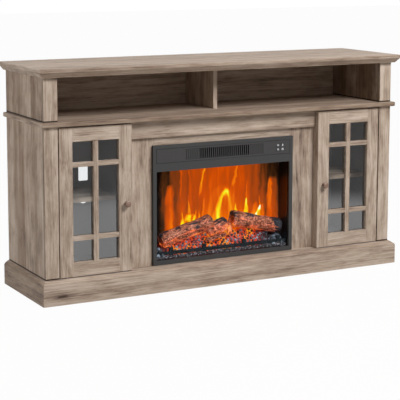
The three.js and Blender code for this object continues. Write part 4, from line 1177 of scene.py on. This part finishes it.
def grown(name, verts, faces, tree, values, body="cabinet", slot=None, smooth=False):
    """A piece grown by a Geometry Nodes tree from a hidden mesh; values are named inputs."""
    seed_mesh = bpy.data.meshes.new(f"{name}_seed")
    seed_mesh.from_pydata([tuple(v) for v in verts], [], faces)
    seed = bpy.data.objects.new(f"{name}_seed", seed_mesh)
    bpy.context.scene.collection.objects.link(seed)
    grow = seed.modifiers.new("grow", "NODES")
    grow.node_group = tree
    for item in tree.interface.items_tree:
        if item.in_out == "INPUT" and item.name in values:
            grow[item.identifier] = values[item.name]
    graph = bpy.context.evaluated_depsgraph_get()
    mesh = bpy.data.meshes.new_from_object(seed.evaluated_get(graph))
    mesh.name = name
    bpy.data.objects.remove(seed)
    print(name, "faces:", len(mesh.polygons))
    return as_piece(name, mesh, body, smooth)


strewn = make_strewn_tree()
print("inputs of the tree:", [item.name for item in strewn.interface.items_tree])

# %% [markdown]
# The lumps are resin, painted in several tones of blue-grey or coal grey. A speckle is added to
# each lump's own tone: its pale specks are partly worn paint and partly painted highlights. The
# lumps also glow a little, which is painted light: glints on the palest specks, and on the nuggets
# a faint red from the embers on the darkest.

# %% Strewn lumps


def coal_resin(name, stops, glow, gloss):
    """Painted resin lumps in their own tones, speckled paler, with painted highlights and painted glow."""
    material, tree, place = new_material(name)
    tone = add(tree, "Attribute", attribute_name="tone").outputs["Fac"]
    speck = add(tree, "TexNoise", {"Vector": place, "Scale": 420.0, "Detail": 2.0})
    tone = add(tree, "Math", (tone, 0.7, -0.55), operation="MULTIPLY_ADD")
    tone = add(tree, "Math", (speck, 1.4, tone), operation="MULTIPLY_ADD")
    # The first ramp's palest stops are partly painted highlight; the second ramp is painted light
    colour, light = (add(tree, "ValToRGB", (tone,), stops=row) for row in (stops, glow))
    return finish(material, {"Base Color": colour, "Roughness": gloss}, light)


def patch_of_bed(x0, x1, d0, d1, rows=24, columns=96):
    """A rectangle of the bed's surface, as points and faces."""
    verts = []
    for j in range(rows):
        d = d0 + (d1 - d0) * j / (rows - 1)
        for i in range(columns):
            x = x0 + (x1 - x0) * i / (columns - 1)
            verts.append((x * MM, FRONT_Y + d * MM, bed_height(x, d) * MM))
    return verts, grid_faces(rows, columns)


nugget_resin = coal_resin(
    "painted_nugget_resin",
    # Slate to pale blue, the palest partly painted highlight; glow: ember red and glints, painted light
    [(0.2, "#0a0c0f"), (0.5, "#262c35"), (0.75, "#586472"), (0.98, "#b8c6d4")],
    [(0.2, "#1c0704"), (0.5, "#101317"), (0.8, "#333b45"), (1.0, "#6d7a8a")],
    0.35,
)
crushed_resin = coal_resin(
    "painted_crushed_coal_resin",
    # Coal grey to pale specks, partly painted highlight; glow: painted glints on the palest
    [(0.25, "#09090a"), (0.5, "#252326"), (0.7, "#504d54"), (0.9, "#aeabb2")],
    [(0.25, "#030303"), (0.5, "#0b0a0c"), (0.7, "#1c1b1e"), (0.9, "#4a484e")],
    0.5,
)
# Sizes in metres, density in points for a square metre
NUGGETS = {"Distance": 0.0125, "Size": 0.0062, "Height": 0.0024, "Jag": 0.0024, "Density": 9e4}
CRUSHED = {"Distance": 0.0037, "Size": 0.0034, "Height": 0.0008, "Jag": 0.002, "Density": 5e5}
CORNER = {"Distance": 0.0115, "Size": 0.0092, "Height": 0.003, "Jag": 0.005, "Density": 9e4}
STREWN = {
    # Name: limits in x and depth in mm, sizes, detail, seed, finish, and whether it is smooth
    "ember_nuggets": ((-225, 225, 60, 98), NUGGETS, 2, 3, nugget_resin, True),
    "crushed_coal_strip": ((-273, 273, 40.5, 54), CRUSHED, 1, 11, crushed_resin, False),
    "corner_coals_left": ((-266, -240, 52, 82), CORNER, 2, 7, nugget_resin, False),
    "corner_coals_right": ((222, 266, 52, 82), CORNER, 2, 7, nugget_resin, False),
}
for name, (limits, sizes, detail, seed, resin, is_smooth) in STREWN.items():
    values = {**sizes, "Detail": detail, "Seed": seed, "Finish": resin}
    grown(name, *patch_of_bed(*limits), strewn, values, slot="ember_resin", smooth=is_smooth)

# %% [markdown]
# Each touch key carries a plain white symbol: on and off, flame, heat and timer. They are pad
# printed, so each is a flat line 0.8 mm wide, a tenth of a millimetre thick, that moves with its
# key. A lamp behind the keys makes the white look brighter than paint.

# %% Key symbols
INK_WIDTH, INK_THICK = 0.8, 0.08  # mm
INK_DEPTH = 26.48
STEPS = 28


def lit_print():
    """White ink with light behind it, a little uneven like all screen ink."""
    material, tree, place = new_material("backlit_white_ink")
    speck = add(tree, "TexNoise", {"Vector": place, "Scale": 900.0})
    tone = add(tree, "ValToRGB", (speck,), stops=[(0.3, "#dfe3e6"), (0.7, "#ffffff")])
    return finish(material, {"Base Color": tone, "Roughness": 0.6}, tone, 0.5)


def printed_line(points):
    """A flat line along (x, z) points in mm, as a closed prism just in front of a key."""
    verts, faces = [], []
    last = len(points) - 1
    for i, (x, z) in enumerate(points):
        (xa, za), (xb, zb) = points[max(i - 1, 0)], points[min(i + 1, last)]
        reach = math.hypot(xb - xa, zb - za)
        nx, nz = -(zb - za) / reach * INK_WIDTH / 2, (xb - xa) / reach * INK_WIDTH / 2
        for d in (-INK_THICK, 0):
            verts += [(x + nx, d, z + nz), (x - nx, d, z - nz)]
    for i in range(last):
        a, b = 4 * i, 4 * i + 4
        faces += [(a, b, b + 1, a + 1), (a + 2, a + 3, b + 3, b + 2)]
        faces += [(a, a + 2, b + 2, b), (a + 1, b + 1, b + 3, a + 3)]
    end = 4 * last
    faces += [(0, 1, 3, 2), (end, end + 2, end + 3, end + 1)]
    return verts, faces


def arc(radius, start, stop):
    """Points on a circle, angles in degrees from the right."""
    turns = [math.radians(start + (stop - start) * i / STEPS) for i in range(STEPS + 1)]
    return [(radius * math.cos(a), radius * math.sin(a)) for a in turns]


def drop():
    """A flame's outline: a drop with its point up."""
    turns = [math.radians(6 + 348 * i / STEPS) for i in range(STEPS + 1)]
    return [(3.4 * math.sin(a) * math.sin(a / 2) ** 1.5, 3.5 * math.cos(a)) for a in turns]


def wave(x):
    """One wavy line of rising heat."""
    return [(x + 0.55 * math.sin(i * 0.9), -3 + 6 * i / 8) for i in range(9)]


SYMBOLS = {
    "key_a": (226, 490, [arc(3.1, 125, 415), [(0, 0.4), (0, 3.9)]]),
    "key_b": (246, 490, [drop()]),
    "key_c": (226, 474, [wave(-2.6), wave(0), wave(2.6)]),
    "key_d": (246, 474, [arc(3.2, 90, 449), [(0, 2.2), (0, 0), (1.6, 0)]]),
}
ink = lit_print()
for key, (x, z, lines) in SYMBOLS.items():
    verts, faces = [], []
    for line in lines:
        line_verts, line_faces = printed_line(line)
        faces += [tuple(len(verts) + k for k in face) for face in line_faces]
        verts += [((x + u) * MM, FRONT_Y + (INK_DEPTH + d) * MM, (z + v) * MM) for u, d, v in line_verts]
    outward(make_piece(f"{key}_symbol", verts, faces, ink, body=key))
print("key symbols:", len(SYMBOLS))

# %% [markdown]
# Small fittings hold the stand together and work its doors: nails in the back sheet, screws in
# hinges, knobs and case, shelf pins, and the lamps on the light board. Each is turned from a
# profile, and one Geometry Nodes tree sets copies out on a list of points. A cross recess, cut
# where a row of the profile has no radius, is what tells a screw from a rivet.

# %% Turned fittings
CROSS_REACH, CROSS_HALF = 1.5, 0.5  # mm


def turned(name, profile, ring=False):
    """A part turned about its own Z axis from rows of radius and height in mm."""
    tip = math.degrees(math.atan2(CROSS_HALF, CROSS_REACH))
    corner = math.hypot(CROSS_REACH, CROSS_HALF)
    recess = {tip: corner, 45: CROSS_HALF * math.sqrt(2), 90 - tip: corner}
    turns = [(90 * quarter, angle) for quarter in range(4) for angle in recess]
    verts, faces = [], []
    for radius, height in profile:
        for quarter, angle in turns:
            r = recess[angle] if radius is None else radius
            turn = math.radians(quarter + angle)
            verts.append((r * math.cos(turn) * MM, r * math.sin(turn) * MM, height * MM))
    sides, rows = len(turns), len(profile)
    for i in range(rows if ring else rows - 1):
        for j in range(sides):
            a, b = i * sides + j, i * sides + (j + 1) % sides
            c, d = (b + sides) % len(verts), (a + sides) % len(verts)
            faces.append((a, b, c, d))
    if not ring:
        faces.append(tuple(reversed(range(sides))))
        faces.append(tuple(range((rows - 1) * sides, rows * sides)))
    mesh = bpy.data.meshes.new(name)
    mesh.from_pydata(verts, [], faces)
    part = bpy.data.objects.new(name, mesh)
    outward(part)
    return part


def make_set_out_tree():
    """Copies of a part on points, all turned one way."""
    inputs = {"Points": "Geometry", "Part": "Object", "Turn": "Vector", "Finish": "Material"}
    tree, ins = new_group("set_out_parts", "GeometryNodeTree", inputs, {"Parts": "Geometry"})
    part = add(tree, "GeometryNodeObjectInfo", {"Object": ins["Part"]}).outputs["Geometry"]
    turn = add(tree, "FunctionNodeEulerToRotation", (ins["Turn"],))
    points = add(tree, "GeometryNodeMeshToPoints", {"Mesh": ins["Points"]})
    copies = {"Points": points, "Instance": part, "Rotation": turn}
    placed = add(tree, "GeometryNodeInstanceOnPoints", copies)
    real = add(tree, "GeometryNodeRealizeInstances", (placed,))
    done = add(tree, "GeometryNodeSetMaterial", {"Geometry": real, "Material": ins["Finish"]})
    add(tree, "NodeGroupOutput", {"Parts": done})
    return tree


def warm_lens():
    """Amber epoxy, glowing most in the middle of the dome."""
    material, tree, _ = new_material("amber_epoxy_lens")
    facing_share = add(tree, "LayerWeight", {"Blend": 0.4}).outputs["Facing"]
    glow = add(tree, "ValToRGB", (facing_share,), stops=[(0.1, "#ffd890"), (0.9, "#ff8a20")])
    return finish(material, {"Base Color": glow, "Roughness": 0.2}, glow, 1.2)


pan_screw = turned("pan_screw", [(3.6, 0), (3.7, 0.7), (2.8, 1.7), (None, 1.9), (None, 0.9)])
flat_screw = turned("flat_screw", [(2.6, -0.2), (2.6, 0.25), (None, 0.3), (None, 0.1)])
nail = turned("nail", [(2.2, -0.1), (2.4, 0.3), (1.6, 0.6)])
pin = turned("pin", [(2.4, -1), (2.4, 7.2), (2.0, 7.8)])
led = turned("led", [(2.9, 0), (2.9, 1), (2.5, 1), (2.5, 3.5), (2.1, 4.6), (1.1, 5.3)])
bush_rows = [(8.1, -1.8), (8.1, 0), (11, 0), (11, 1.4), (10.2, 2.2), (5, 2.2), (4.3, 1.5), (4.3, -1.8)]
bush = turned("bush", bush_rows, ring=True)
print("turned parts: 6")

# %% [markdown]
# Nails run along the top, the bottom and the partitions, 128 mm or 110 mm apart. Screws stand at
# the hinge leaves' holes, and pins under the adjustable shelves. Every point is x, depth and
# height in millimetres.

# %% Setting the fittings out
set_out = make_set_out_tree()
QUARTER = math.pi / 2
TO_BACK = (-QUARTER, 0, 0)
TO_RIGHT, TO_LEFT = (0, QUARTER, 0), (0, -QUARTER, 0)
SHEET_BACK, CASE_BACK, DOOR_BACK = 325, 215, 18
LAMPS, LAMP_ROW = 12, 461


def place_parts(name, part, points, turn, material, body="cabinet", slot=None):
    """Copies of a turned part at (x, depth, z) points in mm, as one piece on one body."""
    verts = [(x * MM, FRONT_Y + d * MM, z * MM) for x, d, z in points]
    values = {"Part": part, "Turn": turn, "Finish": material}
    return grown(name, verts, [], set_out, values, body, slot)


nails = [(x, SHEET_BACK, z) for z in (78.5, 622.5) for x in range(-640, 641, 128)]
nails += [(side * 395.5, SHEET_BACK, z) for side in (-1, 1) for z in range(140, 600, 110)]
nails += [(0, SHEET_BACK, z) for z in (665, 745)]
place_parts("back_sheet_nails", nail, nails, TO_BACK, zinc)
corners = [(x, CASE_BACK, z) for x in (-268, 0, 268) for z in (98, 505)]
place_parts("case_screws", pan_screw, corners, TO_BACK, zinc, slot="case_steel")
place_parts("power_inlet_bush", bush, [(200, CASE_BACK, 120)], TO_BACK, rubber)
lamp_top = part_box("light_board")[1][2] / MM
lamps = [((i - (LAMPS - 1) / 2) * LAMP_ROW / LAMPS, 80, lamp_top) for i in range(LAMPS)]
place_parts("ember_lamp_lenses", led, lamps, (0, 0, 0), warm_lens())

DOOR_LEAF, POST_LEAF = 661.3, 662.2  # where the leaves' faces are, from the stand's middle
HINGES, HINGE_HOLES = (168, 529), (-20, 20)
KNOB_X, KNOB_Z = 411, 330
PARTITION_FACE, SIDE_FACE = 403.2, 663.3
PIN_DEPTHS, PIN_HEIGHT = (140, 290), 324.4
for side, sign in (("left", -1), ("right", 1)):
    outwards, inwards = (TO_LEFT, TO_RIGHT) if sign < 0 else (TO_RIGHT, TO_LEFT)
    door = f"{side}_door"
    knob = (sign * KNOB_X, DOOR_BACK, KNOB_Z)
    place_parts(f"{side}_knob_screw", pan_screw, [knob], TO_BACK, zinc, door)
    holes = [(9, z + step) for z in HINGES for step in HINGE_HOLES]
    on_door, on_post = ([(sign * x, *hole) for hole in holes] for x in (DOOR_LEAF, POST_LEAF))
    place_parts(f"{side}_door_hinge_screws", flat_screw, on_door, outwards, bronze, door, "hinge_steel")
    place_parts(f"{side}_post_hinge_screws", flat_screw, on_post, inwards, bronze, slot="hinge_steel")
    for wall, x, turn in (("partition", PARTITION_FACE, outwards), ("side", SIDE_FACE, inwards)):
        pins = [(sign * x, d, PIN_HEIGHT) for d in PIN_DEPTHS]
        place_parts(f"{side}_{wall}_shelf_pins", pin, pins, turn, zinc)

# %% [markdown]
# The rest are small moulded blocks: a magnetic catch on each partition, with two steel poles in a
# plastic body, its strike plate on the door, and turn buttons that hold the panes in.

# %% Blocks
ON_DOOR = 18.05  # mm of depth: blocks on a door start a hair off its back
BUTTONS_X, BUTTONS_Z = (425, 621), (190, 349, 508)


def block(name, x, d, z, material, body="cabinet", round_mm=0.6):
    """A small block between limits in mm, its edges rounded."""
    work = bmesh.new()
    bmesh.ops.create_cube(work, size=1.0)
    for vert in work.verts:
        for axis, (low, high) in enumerate((x, d, z)):
            vert.co[axis] = (high if vert.co[axis] > 0 else low) * MM
        vert.co.y += FRONT_Y
    rounding = {"offset": round_mm * MM, "segments": 2, "affect": "EDGES", "profile": 0.7}
    bmesh.ops.bevel(work, geom=work.edges, **rounding)
    bmesh.ops.recalc_face_normals(work, faces=work.faces)
    mesh = bpy.data.meshes.new(name)
    work.to_mesh(mesh)
    work.free()
    mesh.materials.append(material)
    return as_piece(name, mesh, body)


def span(sign, near, far):
    """Limits in x of something |x| from near to far, on one side."""
    return (near, far) if sign > 0 else (-far, -near)


for side, sign in (("left", -1), ("right", 1)):
    door = f"{side}_door"
    catch_body = (span(sign, PARTITION_FACE, 414), (21.4, 46), (568, 602))
    block(f"{side}_catch_body", *catch_body, rubber, round_mm=1.2)
    for which, (near, far) in {"inner": (405, 406.2), "outer": (410.6, 411.8)}.items():
        pole = (span(sign, near, far), (20.6, 40), (571, 599))
        block(f"{side}_catch_pole_{which}", *pole, zinc, round_mm=0.2)
    plate = (span(sign, 403.5, 420), (ON_DOOR, 19.4), (573, 597))
    block(f"{side}_strike_plate", *plate, zinc, door, 0.4)
    for k, (x, z) in enumerate((x, z) for x in BUTTONS_X for z in BUTTONS_Z):
        button = (span(sign, x - 8, x + 8), (ON_DOOR, 19.9), (z - 4, z + 4))
        block(f"{side}_pane_button_{k}", *button, rubber, door, 0.7)
print("catches, plates and pane buttons ready")
